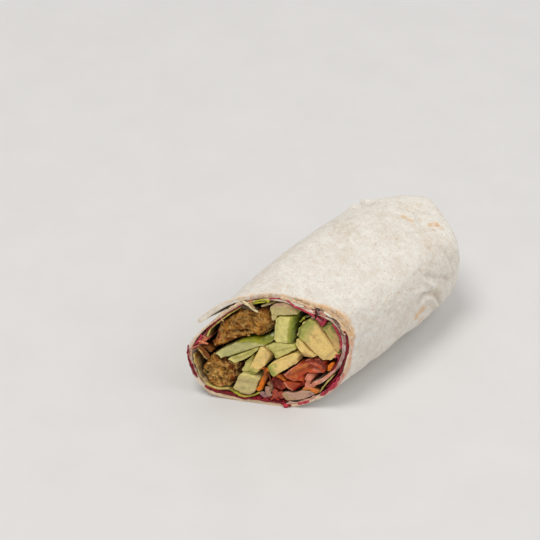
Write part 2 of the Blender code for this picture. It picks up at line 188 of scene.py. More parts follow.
def carry(u, v, share, back=0.0):
    """Take section points to their places at shares of the roll's length, in metres."""
    u, v, share, back = np.broadcast_arrays(*(np.asarray(a, float) for a in (u, v, share, back)))
    folded = np.clip(share - FOLD_START, 0.0, None) / (1.0 - FOLD_START)
    full = np.sqrt(np.clip(1.0 - folded ** END_ROUNDNESS, 0.0, None))
    loss = BELLY_LOSS * ease(share, BELLY_LOSS_FROM, BELLY_LOSS_OVER)
    belly = ease(share, over=BELLY_FULL_AT) * (1.0 - loss)
    narrow = TIP_WIDTH + (1.0 - TIP_WIDTH) * full
    low = TIP_HEIGHT + (1.0 - TIP_HEIGHT) * full
    drop = END_DROP * ease(share, END_DROP_FROM, 1.0 - END_DROP_FROM)
    x = (u + BELLY_SHIFT * belly) * (1.0 + BELLY_WIDTH * belly) * narrow
    z = v * (1.0 + BELLY_HEIGHT * belly - drop) * low + TIP_LIFT * (1.0 - low)
    corner = np.clip(1.0 - np.abs(u - CORNER_AT) / CORNER_WIDTH, 0.0, None)
    corner = corner * ease(v, CORNER_LOWEST, ROLL_HEIGHT - CORNER_LOWEST) * full ** CORNER_FADE
    cut = CUT_SLANT_ACROSS * u + CUT_SLANT_UP * (v - CUT_MIDDLE_HEIGHT)
    end = END_REACH + END_TURN * u + END_LEAN * (v - CUT_MIDDLE_HEIGHT)
    fold = CORNER_REACH * corner - END_SETBACK * np.clip(SETBACK_START - u * narrow, 0.0, None)
    y = cut + back + (end - cut) * share + fold * ease(folded)
    return np.stack((x + CUT_MIDDLE[0], y + CUT_MIDDLE[1], z), axis=-1) * MM


def in_roll(places):
    """Places in the roll's own millimetres, from the table under the middle of the cut."""
    return places / MM - np.array((*CUT_MIDDLE, 0.0))


def at_cut(section):
    """Section points with no depth, for the noise."""
    return np.c_[section, np.zeros(len(section))]


def smooth_line(points, steps, closed=False):
    """Points along a smooth curve through the given ones (Catmull-Rom); steps may differ by span."""
    points = np.asarray(points, float)
    if closed:
        padded = np.vstack((points[-1:], points, points[:2]))
    else:
        padded = np.vstack((points[:1], points, points[-1:]))
    steps = np.broadcast_to(steps, (len(padded) - 3,))
    rows = []
    for p0, p1, p2, p3, count in zip(padded, padded[1:], padded[2:], padded[3:], steps):
        t = (np.arange(count) / count)[:, None]
        rows.append(0.5 * (2.0 * p1 + (p2 - p0) * t + (2.0 * p0 - 5.0 * p1 + 4.0 * p2 - p3) * t * t
                           + (3.0 * p1 - p0 - 3.0 * p2 + p3) * t ** 3))
    if not closed:
        rows.append(points[-1:])
    return np.vstack(rows)


def even_steps(line, step, closed=True):
    """The same line with points about a step apart."""
    line = np.asarray(line, float)
    if closed:
        line = np.vstack((line, line[:1]))
    gone = np.concatenate(([0.0], np.cumsum(np.linalg.norm(np.diff(line, axis=0), axis=1))))
    count = max(int(round(gone[-1] / step)), 6)
    stops = np.linspace(0.0, gone[-1], count + 1)
    if closed:
        stops = stops[:-1]
    return np.stack((np.interp(stops, gone, line[:, 0]), np.interp(stops, gone, line[:, 1])), axis=1)


def sides_of(line, closed=True):
    """Unit vectors to the left of a line at its points."""
    if closed:
        along = np.roll(line, -1, axis=0) - np.roll(line, 1, axis=0)
    else:
        padded = np.vstack((line[:1], line, line[-1:]))
        along = padded[2:] - padded[:-2]
    along = along / np.maximum(np.linalg.norm(along, axis=1, keepdims=True), 1e-9)
    return np.stack((-along[:, 1], along[:, 0]), axis=1)


def distance_to_line(points, line, closed=False):
    """How far each point lies from a line."""
    start = np.asarray(line, float)
    stop = np.roll(start, -1, axis=0)
    if not closed:
        start = start[:-1] if len(start) > 1 else start
        stop = stop[:-1] if len(stop) > 1 else stop
    way = stop - start
    length = np.maximum((way ** 2).sum(axis=1), 1e-12)
    to_point = points[:, None, :] - start[None, :, :]
    along = np.clip((to_point * way).sum(axis=2) / length, 0.0, 1.0)
    return np.linalg.norm(to_point - along[:, :, None] * way, axis=2).min(axis=1)


def inside_of(points, loop):
    """True for points inside a closed outline."""
    found = np.zeros(len(points), bool)
    for (u0, v0), (u1, v1) in zip(loop, np.roll(loop, -1, axis=0)):
        crosses = (v0 > points[:, 1]) != (v1 > points[:, 1])
        at = u0 + (points[:, 1] - v0) / (v1 - v0 if v1 != v0 else 1.0) * (u1 - u0)
        found ^= crosses & (points[:, 0] < at)
    return found


def ripple(places, size, seed=0):
    """Smooth noise from -1 to 1 at places in millimetres, with bumps about a size across."""
    places = np.asarray(places, float) / size + 13.7 * seed
    cell = np.floor(places).astype(np.int64)
    part = places - cell
    part = part * part * (3.0 - 2.0 * part)
    total = np.zeros(len(places))
    for corner in np.ndindex(*(2,) * places.shape[1]):
        key = np.full(len(places), 97 * seed + 11, np.int64)
        weight = np.ones(len(places))
        for axis, one in enumerate(corner):
            key = (key * 1103515245 + (cell[:, axis] + one) * 374761393 + 12345) & 0x7FFFFFFF
            key = key ^ (key >> 13)
            weight = weight * (part[:, axis] if one else 1.0 - part[:, axis])
        key = (key * 1274126177) & 0x7FFFFFFF
        total += weight * ((key >> 8) % 65536 / 32767.5 - 1.0)
    return total


def rough(places, size, seed=0, layers=3):
    """Noise with finer and fainter layers on top, about -1 to 1."""
    return sum(ripple(places, size / 2.1 ** k, seed + k) * 0.55 ** k for k in range(layers)) / 1.5


# ---------------------------------------------------------------- reading the frame


def cut_outline(node):
    """A solid's outline at the cut, anticlockwise in section millimetres, and how far back it stands."""
    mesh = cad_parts[node].data
    places = np.array([v.co for v in mesh.vertices], float) / MM
    u = places[:, 0] - CUT_MIDDLE[0]
    v = places[:, 2]
    behind = places[:, 1] - CUT_MIDDLE[1] - CUT_SLANT_ACROSS * u - CUT_SLANT_UP * (v - CUT_MIDDLE_HEIGHT)
    back = behind.min()
    spots = {i: (round(u[i], 3), round(v[i], 3)) for i in np.flatnonzero(behind < back + ON_CUT)}
    ways = {}
    for face in mesh.polygons:
        if all(i in spots for i in face.vertices):
            ring = [spots[i] for i in face.vertices]
            for pair in zip(ring, ring[1:] + ring[:1]):
                if (pair[1], pair[0]) in ways:
                    del ways[(pair[1], pair[0])]
                else:
                    ways[pair] = True
    follow = {a: b for a, b in ways}
    loop = [min(follow)]
    while follow[loop[-1]] != loop[0]:
        loop.append(follow[loop[-1]])
        if len(loop) > len(follow):
            raise RuntimeError(f"the cut end of {node} isn't one closed outline")
    loop = np.array(loop)
    area = 0.5 * (loop[:, 0] * np.roll(loop[:, 1], -1) - loop[:, 1] * np.roll(loop[:, 0], -1)).sum()
    return (loop if area > 0.0 else loop[::-1]), back


def sheet_controls():
    """The sheet's middle line at the cut, from its free edge to its inner end."""
    loop, _ = cut_outline("tortilla")
    tip = np.linalg.norm(loop - np.array(FREE_EDGE_TIP), axis=1).argmin()
    loop = np.roll(loop, -tip, axis=0)
    half = (len(loop) - 2) // 2
    one = loop[1:half + 1]
    other = loop[half + 2:][::-1]
    return 0.5 * (one + other)[::2]


# ---------------------------------------------------------------- meshes


def add_piece(name, places, faces, tint, finish, nodes=()):
    """A finished piece that rides on the roll and stands for its solids."""
    mesh = bpy.data.meshes.new(name)
    mesh.from_pydata([tuple(p) for p in places], [], faces)
    mesh.validate()
    layer = mesh.color_attributes.new("tint", "FLOAT_COLOR", "POINT")
    layer.data.foreach_set("color", np.asarray(tint, np.float32).ravel())
    mesh.materials.append(finish)
    mesh.shade_smooth()
    piece = bpy.data.objects.new(name, mesh)
    bpy.context.scene.collection.objects.link(piece)
    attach(piece, "root")
    if nodes:
        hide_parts(*nodes)
    return piece


def ring_faces(rings, count, first=0):
    """Quads that join closed rings of equal length, listed one after the other."""
    faces = []
    for k in range(rings - 1):
        low = first + k * count
        for i in range(count):
            j = (i + 1) % count
            faces.append((low + i, low + count + i, low + count + j, low + j))
    return faces


def closed_faces(rings, count):
    """The quads of a tube, and a face over each of its ends."""
    last = (rings - 1) * count
    return ring_faces(rings, count) + [tuple(range(count))[::-1], tuple(range(last, last + count))]


def cap_mesh(ring, spacing, seed):
    """A fine triangle mesh inside a ring: its own points first, and then the inner ones.

    There are no faces where the ring crosses itself.
    """
    lowest = ring.min(axis=0)
    highest = ring.max(axis=0)
    rows = np.arange(lowest[1], highest[1], 0.87 * spacing)
    columns = np.arange(lowest[0], highest[0] + spacing, spacing)
    grid = np.array([(u + 0.5 * spacing * (k % 2), v) for k, v in enumerate(rows) for u in columns])
    grid += np.random.default_rng(seed).uniform(-0.28, 0.28, grid.shape) * spacing
    grid = grid[inside_of(grid, ring)]
    grid = grid[distance_to_line(grid, ring, closed=True) > 0.6 * spacing]
    spots = np.vstack((ring, grid)) if len(grid) else ring
    found = delaunay_2d_cdt([Vector(p) for p in spots], [], [list(range(len(ring)))], 1, 1e-5, True)
    if len(found[0]) != len(spots):
        return spots, []
    where = np.array([ids[0] for ids in found[3]])
    faces = where[np.array(found[2])]
    kept = inside_of(spots[faces].mean(axis=1), ring)
    return spots, [tuple(face) for face in faces[kept].tolist()]


class Body:
    """A mesh with what its painting needs: section place, depth, distance from the edge, and dents."""

    def __init__(self, rows, faces):
        """rows lists places, section points, depth and distance from the edge, row by row."""
        self.places = np.vstack([row[0] for row in rows])
        self.section = np.vstack([row[1] for row in rows])
        self.depth = np.concatenate([np.broadcast_to(row[2], len(row[1])) for row in rows])
        self.edge = np.concatenate([np.broadcast_to(row[3], len(row[1])) for row in rows])
        self.faces = faces
        self.sunk = np.zeros(len(self.places))


# How far behind the cut end the rings of a filling's sides stand, in millimetres.
RING_DEPTHS = (0.0, 0.25, 0.7, 1.5, 2.8, 4.6, 7.0, 10.5, 20.0, 40.0, 62.0)
CRISP_REACH = 1.6              # how far along an outline its corners are drawn out
SETTLED_AT = 9.0               # how far behind the cut the rim's unevenness is gone


def crisper(line, reach, amount):
    """An outline with its rounded corners drawn out: each point moves away from its neighbours' middle."""
    steps = max(1, round(reach / np.linalg.norm(line[1] - line[0])))
    around = sum(np.roll(line, k, axis=0) for k in range(-steps, steps + 1)) / (2 * steps + 1)
    return line + amount * (line - around)


def rough_rim(outline, spacing, seed, grow, jag, bevel, crisp):
    """A filling's outline made crisp and uneven, with the fine mesh that closes its cut end.

    Where the roughness makes the outline cross itself, less of it is tried.
    """
    smooth = even_steps(outline, spacing)
    out = -sides_of(smooth)
    wobble = rough(at_cut(smooth), 1.3, seed) * jag
    for part in (1.0, 0.6, 0.3, 0.1):
        ring = crisper(smooth, CRISP_REACH, part * crisp) + out * (part * (grow + wobble))[:, None]
        rim = ring - out * part * bevel
        spots, faces = cap_mesh(rim, spacing, seed)
        if faces:
            return ring, out, rim, spots, faces
    raise RuntimeError("an outline is too narrow for its rough edge")


def filling_body(outline, back, spacing, relief, seed, grow=0.1, jag=0.08, bevel=0.18, side=0.15, crisp=0.0):
    """A filling from its outline at the cut: a fine uneven cut end, and sides that run back to the fold.

    relief takes section points and their distance from the edge and gives how far back they lie.
    """
    ring, out, rim, spots, cap_faces = rough_rim(outline, spacing, seed, grow, jag, bevel, crisp)
    edge = distance_to_line(spots, rim, closed=True)
    depth = relief(spots, edge) + back
    rows = [(carry(spots[:, 0], spots[:, 1], 0.0, depth), spots, depth, edge)]
    count = len(rim)
    for k, behind in enumerate(RING_DEPTHS):
        share = min(behind / END_REACH, FILLING_END)
        at = np.c_[ring, np.full(count, 3.0 * k)]
        swell = rough(at, 2.4, seed + 5, 2) * side * (1.0 if behind else 0.0)
        line = ring + out * (swell - (0.5 * bevel if behind == 0.0 else 0.0))[:, None]
        settle = 1.0 - ease(behind, over=SETTLED_AT)
        extra = depth[:count] * settle + (0.4 * bevel if behind == 0.0 else 0.0)
        rows.append((carry(line[:, 0], line[:, 1], share, extra), line, behind + 0.3 + extra, 0.0))
    rows.append((carry(ring[:, 0], ring[:, 1], FILLING_END), ring, FILLING_END * END_REACH, 0.0))
    first = len(spots)
    faces = list(cap_faces)
    for i in range(count):
        j = (i + 1) % count
        faces.append((i, first + i, first + j, j))
    faces += ring_faces(len(RING_DEPTHS) + 1, count, first)
    far = first + len(RING_DEPTHS) * count
    faces.append(tuple(range(far, far + count)))
    body = Body(rows, faces)
    body.sunk[:first] = depth - back
    return body


# ---------------------------------------------------------------- painting


def brushed(section, path, radius, wobble=0.25, seed=0, soft=0.55):
    """1 on a brush stroke along a path and 0 away from it, with an uneven border."""
    gap = distance_to_line(section, np.asarray(path, float).reshape(-1, 2))
    gap = gap + wobble * radius * ripple(at_cut(section), 1.1, seed)
    return 1.0 - ease(gap / radius, 1.0 - soft, soft)


def mixed(tint, colour, weight):
    """Lay a named colour over a tint by a weight for each point."""
    weight = np.clip(weight, 0.0, 1.0)[:, None]
    tint[:, :3] = tint[:, :3] * (1.0 - weight) + linear(PALETTE[colour]) * weight
    return tint


def base_tint(body, colour, wet=0.5):
    """One colour and wetness for every point."""
    tint = np.empty((len(body.places), 4))
    tint[:, :3] = linear(PALETTE[colour])
    tint[:, 3] = wet
    return tint


def streaked(tint, body, angle, size, strength, seed=0):
    """Fibres that run across the cut at an angle from the horizontal, lighter and darker in turn."""
    way = np.array((math.cos(math.radians(angle)), math.sin(math.radians(angle))))
    along = body.section @ way
    across = body.section @ np.array((-way[1], way[0]))
    at = np.stack((across / size, along / (9.0 * size), body.depth / (12.0 * size)), axis=1)
    wave = 0.65 * ripple(at, 1.0, seed) + 0.35 * ripple(at, 0.45, seed + 1)
    return shaded(tint, 1.0 + strength * wave)


def shaded(tint, factor):
    """Make a tint lighter or darker point by point."""
    tint[:, :3] = np.clip(tint[:, :3] * factor[:, None], 0.0, 1.0)
    return tint


def touched(tint, body, touches, seed=0):
    """Lay a solid's own brush strokes over its tint."""
    for k, (radius, colour, strength, *path) in enumerate(touches):
        tint = mixed(tint, colour, strength * brushed(body.section, path, radius, seed=seed + k))
    return tint


def hollowed(section, hollows, seed=0):
    """How far back a node's own dents and slopes push its cut end."""
    depth = np.zeros(len(section))
    for k, (radius, deep, *path) in enumerate(hollows):
        depth += deep * brushed(section, path, radius, seed=seed + 20 + k, soft=0.9)
    return depth


# ---------------------------------------------------------------- finishes


def size_node(tree, kind, size, **settings):
    """A texture node in the roll's own coordinates, with a pattern about a size in millimetres across."""
    node = tree.nodes.new(kind)
    node.inputs["Scale"].default_value = 1.0 / (size * MM)
    for name, value in settings.items():
        if name in node.inputs:
            node.inputs[name].default_value = value
        else:
            setattr(node, name, value)
    if "place" not in tree.nodes:
        place = tree.nodes.new("ShaderNodeTexCoord")
        place.name = "place"
    tree.links.new(tree.nodes["place"].outputs["Object"], node.inputs["Vector"])
    return node


def ranged(tree, socket, low, high, to_low, to_high):
    """The socket's values from low to high spread over a new range."""
    node = tree.nodes.new("ShaderNodeMapRange")
    tree.links.new(socket, node.inputs["Value"])
    for name, value in zip(("From Min", "From Max", "To Min", "To Max"), (low, high, to_low, to_high)):
        node.inputs[name].default_value = value
    return node.outputs["Result"]


def multiplied(tree, first, second):
    """The product of two values."""
    node = tree.nodes.new("ShaderNodeMath")
    node.operation = "MULTIPLY"
    for place, value in enumerate((first, second)):
        tree.links.new(value, node.inputs[place])
    return node.outputs["Value"]


def laid_over(tree, under, over, share, blend="MIX"):
    """One colour laid over another by a share."""
    node = tree.nodes.new("ShaderNodeMix")
    node.data_type = "RGBA"
    node.blend_type = blend
    for name, value in (("Factor", share), ("A", under), ("B", over)):
        socket = next(one for one in node.inputs if one.name == name and one.enabled)
        if isinstance(value, bpy.types.NodeSocket):
            tree.links.new(value, socket)
        else:
            socket.default_value = value
    return next(one for one in node.outputs if one.enabled)


def solid_colour(name):
    """A palette colour for a shader's socket."""
    return (*linear(PALETTE[name]), 1.0)


def varied(tree, colour, size, low, high, detail=3.0):
    """A colour made unevenly lighter and darker, in patches about a size across."""
    noise = size_node(tree, "ShaderNodeTexNoise", size, Detail=detail, Roughness=0.6)
    grey = ranged(tree, noise.outputs["Fac"], 0.34, 0.66, low, high)
    return laid_over(tree, colour, grey, 1.0, "MULTIPLY")


def speckled(tree, colour, over, size, low, high, most, detail=3.0):
    """A colour with patches of another, where the noise rises from low to high."""
    noise = size_node(tree, "ShaderNodeTexNoise", size, Detail=detail, Roughness=0.65)
    share = ranged(tree, noise.outputs["Fac"], low, high, 0.0, most)
    return laid_over(tree, colour, solid_colour(over), share)


def raised(tree, shader, height, millimetres):
    """Raise the surface by a height pattern, on top of what is raised already."""
    node = tree.nodes.new("ShaderNodeBump")
    node.inputs["Distance"].default_value = millimetres * MM
    node.inputs["Strength"].default_value = 1.0
    tree.links.new(height, node.inputs["Height"])
    if shader.inputs["Normal"].is_linked:
        tree.links.new(shader.inputs["Normal"].links[0].from_socket, node.inputs["Normal"])
    tree.links.new(node.outputs["Normal"], shader.inputs["Normal"])


def start_finish(name, dry, wet, subsurface=0.0, reach=(1.0, 0.6, 0.4), coat=0.0, specular=0.5):
    """A shader that takes its colour from the piece's tint, and its gloss from the tint's wetness."""
    made = bpy.data.materials.new(name)
    made.use_nodes = True
    tree = made.node_tree
    shader = tree.nodes["Principled BSDF"]
    tint = tree.nodes.new("ShaderNodeAttribute")
    tint.attribute_name = "tint"
    shader.inputs["Subsurface Weight"].default_value = subsurface
    shader.inputs["Subsurface Radius"].default_value = reach
    shader.inputs["Subsurface Scale"].default_value = MM
    shader.inputs["Coat Weight"].default_value = coat
    shader.inputs["Coat Roughness"].default_value = 0.18
    shader.inputs["IOR"].default_value = 1.4
    shader.inputs["Specular IOR Level"].default_value = specular
    rough_at = ranged(tree, tint.outputs["Alpha"], 0.0, 1.0, dry, wet)
    blotch = size_node(tree, "ShaderNodeTexNoise", 1.4, Detail=2.0)
    spread = ranged(tree, blotch.outputs["Fac"], 0.3, 0.7, 0.85, 1.15)
    tree.links.new(multiplied(tree, rough_at, spread), shader.inputs["Roughness"])
    return made, tree, shader, tint.outputs["Color"]


# Patches of the dough: colour, size, where the noise starts and is full, strength, detail.
DOUGH_PATCHES = (
    ("dough_beige", 13.0, 0.46, 0.72, 0.50, 3.0),
    ("dough_beige", 4.6, 0.50, 0.70, 0.40, 5.0),
    ("dough_beige", 1.6, 0.50, 0.70, 0.40, 4.0),
    ("dough_white", 2.6, 0.50, 0.66, 0.50, 5.0),
    ("dough_brown", 0.8, 0.56, 0.72, 0.42, 2.0),
)
# Patches of the fried crumb, in the same way.
CRUMB_PATCHES = (
    ("crust", 4.4, 0.54, 0.66, 0.50, 4.0),
    ("crumb_light", 2.6, 0.50, 0.57, 0.80, 5.0),
    ("crumb_dark_and_shade", 2.2, 0.57, 0.63, 0.75, 6.0),
)


def picked_spots(tree, colour, over, size, near, far, most, pick, few):
    """Round spots of another colour, in some of the cells of a pattern only."""
    cells = size_node(tree, "ShaderNodeTexVoronoi", size, Randomness=1.0)
    spot = ranged(tree, cells.outputs["Distance"], near, far, most, 0.0)
    parts = tree.nodes.new("ShaderNodeSeparateColor")
    tree.links.new(cells.outputs["Color"], parts.inputs["Color"])
    chosen = ranged(tree, parts.outputs[pick], *few)
    return laid_over(tree, colour, solid_colour(over), multiplied(tree, spot, chosen))


def dough_finish():
    """Soft flour tortilla: floury white, mottled with beige and faintly blistered."""
    made, tree, shader, colour = start_finish("dough", 0.86, 0.50, 0.03, (1.0, 0.8, 0.6))
    for over, size, low, high, most, detail in DOUGH_PATCHES:
        colour = speckled(tree, colour, over, size, low, high, most, detail)
    colour = picked_spots(tree, colour, "dough_brown", 3.6, 0.05, 0.20, 0.42, "Red", (0.72, 0.80, 0.0, 1.0))
    tree.links.new(colour, shader.inputs["Base Color"])
    for size, detail, height in ((0.9, 4.0, 0.16), (3.4, 3.0, 0.55)):
        grain = size_node(tree, "ShaderNodeTexNoise", size, Detail=detail)
        raised(tree, shader, grain.outputs["Fac"], height)
    return made


def crumb_finish():
    """Fried chickpea crumb: pale and dark crumbs, pits with painted shade in their middles, and flecks of
    herb.
    """
    made, tree, shader, colour = start_finish("falafel", 0.92, 0.45, 0.04, (1.0, 0.5, 0.3), 0.0, 0.3)
    for over, size, low, high, most, detail in CRUMB_PATCHES:
        colour = speckled(tree, colour, over, size, low, high, most, detail)
    colour = varied(tree, colour, 1.2, 0.66, 1.30, 5.0)
    colour = varied(tree, colour, 4.0, 0.84, 1.16)
    pits = size_node(tree, "ShaderNodeTexVoronoi", 1.5, Randomness=1.0)
    # painted shade: the middles of the pits are darkened
    pit_shade = ranged(tree, pits.outputs["Distance"], 0.10, 0.24, 0.30, 1.0)
    colour = laid_over(tree, colour, pit_shade, 1.0, "MULTIPLY")
    colour = picked_spots(tree, colour, "herb", 1.9, 0.12, 0.24, 1.0, "Blue", (0.84, 0.88, 0.0, 0.85))
    tree.links.new(colour, shader.inputs["Base Color"])
    lumps = size_node(tree, "ShaderNodeTexNoise", 1.2, Detail=5.0, Roughness=0.7)
    raised(tree, shader, lumps.outputs["Fac"], 1.4)
    raised(tree, shader, pits.outputs["Distance"], 0.30)
    return made


# Wet foods: shader (roughness when dry and when wet, light that soaks in, its reach, coat, gloss),
# patches of dark and light (size, darkest, lightest, detail), grain of the surface (size, detail, height).
WET_FOODS = {
    "cucumber": (  # clear and pale, with faint streaks
        (0.44, 0.18, 0.25, (0.9, 1.0, 0.4), 0.16),
        ((2.2, 0.86, 1.12, 4.0), (0.6, 0.92, 1.08)), (0.7, 3.0, 0.10)),
    "avocado": (  # dense and buttery, smeared by the knife
        (0.55, 0.34, 0.25, (1.0, 0.8, 0.35), 0.08),
        ((2.8, 0.88, 1.10, 4.0), (0.8, 0.92, 1.07)), (1.1, 3.0, 0.12)),
    "tomato": (  # wet flesh with clearer, darker gel
        (0.42, 0.14, 0.25, (1.4, 0.35, 0.2), 0.14, 0.3),
        ((2.2, 0.80, 1.18, 4.0), (0.8, 0.84, 1.16, 4.0)), (0.9, 3.0, 0.45)),
    "carrot": (  # grated, with fine fibres
        (0.5, 0.24, 0.2, (1.2, 0.5, 0.2), 0.10, 0.3),
        ((0.7, 0.85, 1.12),), (0.4, 3.0, 0.10)),
    "onion": (  # half clear and layered
        (0.45, 0.22, 0.3, (1.0, 0.7, 0.6), 0.25),
        ((1.5, 0.90, 1.07),), (0.8, 2.0, 0.08)),
    "lettuce": (  # seen mostly on its cut and torn edges; its grain is a net of veins
        (0.5, 0.28, 0.2, (0.7, 1.0, 0.2), 0.1, 0.35),
        ((1.2, 0.82, 1.15),), (1.3, 0.0, 0.10)),
    "beet_spread": (  # a wet, grainy purple-red paste
        (0.50, 0.16, 0.15, (1.4, 0.3, 0.4), 0.12, 0.3),
        ((1.5, 0.60, 1.40, 4.0), (0.6, 0.70, 1.30, 4.0)), (0.5, 4.0, 0.40)),
}


def wet_finish(food):
    """Salad or paste, after its row in WET_FOODS."""
    shading, patches, (size, detail, height) = WET_FOODS[food]
    made, tree, shader, colour = start_finish(food, *shading)
    for patch in patches:
        colour = varied(tree, colour, *patch)
    tree.links.new(colour, shader.inputs["Base Color"])
    if food == "lettuce":
        veins = size_node(tree, "ShaderNodeTexVoronoi", size, feature="DISTANCE_TO_EDGE")
        raised(tree, shader, veins.outputs["Distance"], height)
    else:
        grain = size_node(tree, "ShaderNodeTexNoise", size, Detail=detail)
        raised(tree, shader, grain.outputs["Fac"], height)
    return made


DRY_FINISHES = {"tortilla": dough_finish, "falafel": crumb_finish}
MADE_FINISHES = {}


def finish_of(food):
    """A food's finish, made once."""
    if food not in MADE_FINISHES:
        MADE_FINISHES[food] = DRY_FINISHES[food]() if food in DRY_FINISHES else wet_finish(food)
    return MADE_FINISHES[food]


# ---------------------------------------------------------------- the sheet

SHEET = sheet_controls()
OUTER_SPANS = 27               # spans of the sheet's line in its outer turn
SPAN_STEPS = np.array([9] * OUTER_SPANS + [4] * (len(SHEET) - 1 - OUTER_SPANS))
RIM_FILL = (0.06, 0.28, 0.52, 0.76, 0.92)
WALL_SHARES = np.concatenate((
    [0.0, 0.0018, 0.004, 0.007, 0.0105, 0.0145, 0.019, 0.024, 0.030],
    np.linspace(0.0365, WALL_END, 128)))
FOLD_RINGS = 72
FOLD_TUCK = 0.30               # how far the folded end starts under the wall's skin
FOLD_STEP = 0.38               # and how much it rises from there
FOLD_FROM = 0.80               # where the folded end starts, a share of the roll's length
RIM_SETTLED_AT = 0.03          # where the wall no longer follows its torn rim
NO_RIM = 2.0                   # the mark of points that aren't on the cut rim
CREASE_REACH = 26.0            # farther from a crease's middle, nothing of it is felt
SINK_OVER = 0.07               # the share of the roll's length over which the free edge sinks at the fold
FREE_EDGE_SUNK = ((-22.4, 33.3), (-19.9, 37.2), (-16.7, 41.1))

# Ridges (+) and grooves (-) of the outside: half width, height, path (x, y, z) in the roll's millimetres.
CREASES = (
    (0.75, 0.55, 2.6, 82, 46.9, 5.5, 82.9, 46.6, 7.6, 83.6, 46.1, 9.4, 82.9, 45.9, 11, 81.2, 45.8, 15,
     79.4, 45.3, 19.2, 77.8, 44.8),
    (0.75, -0.6, 3.5, 83.6, 46.7, 7.5, 85.3, 45.9, 10.4, 84.6, 45.6, 12.2, 82.7, 45.5, 16, 81.2, 45, 21.2,
     79.2, 44.2),
    (0.7, -0.3, 8, 88, 45.6, 10.3, 89.5, 44.9, 12.6, 91.4, 44.1),
    (0.8, 0.3, -1, 85, 47, 4, 88.6, 46),
    (0.8, -0.3, 22.3, 69.9, 45.5, 24.7, 73.2, 43.7, 25.7, 76.6, 42.8),
    (0.75, -0.95, 31.6, 56.6, 28.9, 31.6, 58.6, 29.9, 31.7, 60.8, 30.4, 31.7, 63.5, 29.3, 31.6, 66.6,
     27.2, 31.4, 69.8, 24, 31, 72, 20.6, 29.3, 75.6, 13.8),
    (1.25, 0.85, 31.8, 59, 27.8, 31.8, 62.5, 27.6, 31.6, 65.9, 25.2, 31.4, 68.6, 21.6, 30.6, 71.4, 17),
    (0.85, 0.6, 30.6, 61.7, 37, 31.1, 64.2, 33.9, 31.4, 67, 31.2, 31.5, 70.6, 27.6, 31.2, 74.3, 23.3),
    (0.8, 0.35, 30.7, 56, 34.4, 31.2, 59.6, 33.2, 31.5, 63.6, 31.4),
    (0.7, -0.4, 30.9, 64, 38.2, 31.6, 69, 34, 31.2, 77.5, 28),
    (0.7, 0.32, 24.1, 81.8, 42.3, 27.5, 84, 37, 29.6, 85.4, 30),
    (0.8, -0.32, 26.5, 79, 41, 29.4, 81.6, 34, 30.6, 82.4, 26),
    (0.7, -0.28, 18, 21.7, 46.8, 19.6, 23.8, 46.2, 21.4, 23.9, 45.4),
    (0.8, 0.2, 17.9, 24.5, 46.9, 22.6, 26.2, 45.2, 25.6, 25.2, 42.8),
    (0.9, -0.2, 26.8, 10.5, 35, 28.4, 18, 33, 29.2, 27, 32.5),
    (2.4, 1.2, -15.9, 76.4, 42, -15.6, 79.4, 42.1, -14.6, 82.4, 42.7),
    (0.75, -0.9, -12.8, 77, 44.1, -14.6, 79.4, 43, -16.2, 80.6, 41.2),
    (1.2, -0.5, -10.6, 78.4, 45.2, -11, 82.6, 44.9),
)
# Round blisters of the dough: radius, height, place.
BLISTERS = (
    (3.2, 0.45, 9.6, 76.4, 47),
    (2.4, 0.3, 14, 71, 47.2),
    (3.4, 0.35, 20.5, 62, 47),
    (4.2, 0.3, 5, 58, 50.8),
    (3, 0.35, 26.6, 60, 43.8),
    (4, 0.25, 12, 36, 50),
    (3.6, 0.35, 28.4, 40, 38),
    (3.4, 0.25, -4, 34, 50.4),
)


def sheet_line(share):
    """The sheet's middle line at a share: the free edge lies down behind the cut and sinks at the fold."""
    controls = SHEET.copy()
    shut = ease(share, over=FLAP_SHUT_AT)
    controls[:3] += (np.array(FREE_EDGE_SHUT) - controls[:3]) * shut
    sunk = ease(share, FOLD_FROM, SINK_OVER)
    controls[:3] += (np.array(FREE_EDGE_SUNK) - controls[:3]) * sunk
    return smooth_line(controls, SPAN_STEPS)


def along_sheet():
    """Each point's share of the sheet's line, counted in its even spans."""
    spans = len(SPAN_STEPS)
    return np.concatenate([i + np.arange(n) / n for i, n in enumerate(SPAN_STEPS)] + [[spans]]) / spans


def half_thickness(along, share):
    """Half of the sheet: thick outside, thin beneath, and thickest at its free edge by the cut."""
    under = ease(along, OUTER_TURN_SHARE, 0.04)
    inner_end = ease(along, INNER_END_FROM, 0.10)
    thick = SHEET_THICKNESS + (UNDER_THICKNESS - SHEET_THICKNESS) * under
    free_edge = FREE_EDGE_EXTRA * (1.0 - ease(along, 0.035, 0.06)) * (1.0 - ease(share, over=0.5))
    return 0.5 * (thick + (SHEET_THICKNESS - UNDER_THICKNESS) * inner_end + free_edge)


def from_roll(u, v, share):
    """Section points as places in the roll's own millimetres."""
    return in_roll(carry(u, v, share))


def closed_turn():
    """The outer turn's middle line, closed under the free edge."""
    return smooth_line([FREE_EDGE_SHUT[2], *SHEET[3:OUTER_SPANS + 1]], 10, closed=True)


def outer_skin():
    """Places all over the roll's smooth outside."""
    turn = closed_turn()
    turn = turn + 0.5 * SHEET_THICKNESS * sides_of(turn)
    return np.vstack([from_roll(turn[:, 0], turn[:, 1], share) for share in np.linspace(0.0, 1.0, 200)])


def laid_on(path, skin):
    """A path's points, finely spaced and moved onto the skin."""
    path = np.asarray(path, float).reshape(-1, 3)
    if len(path) > 1:
        path = smooth_line(path, 14)
    return skin[[np.square(skin - place).sum(axis=1).argmin() for place in path]]


SKIN = outer_skin()
CREASES = [(laid_on(path, SKIN), width, 1.5 * tall) for width, tall, *path in CREASES]
BLISTERS = [(laid_on(place, SKIN)[0], radius, tall) for radius, tall, *place in BLISTERS]


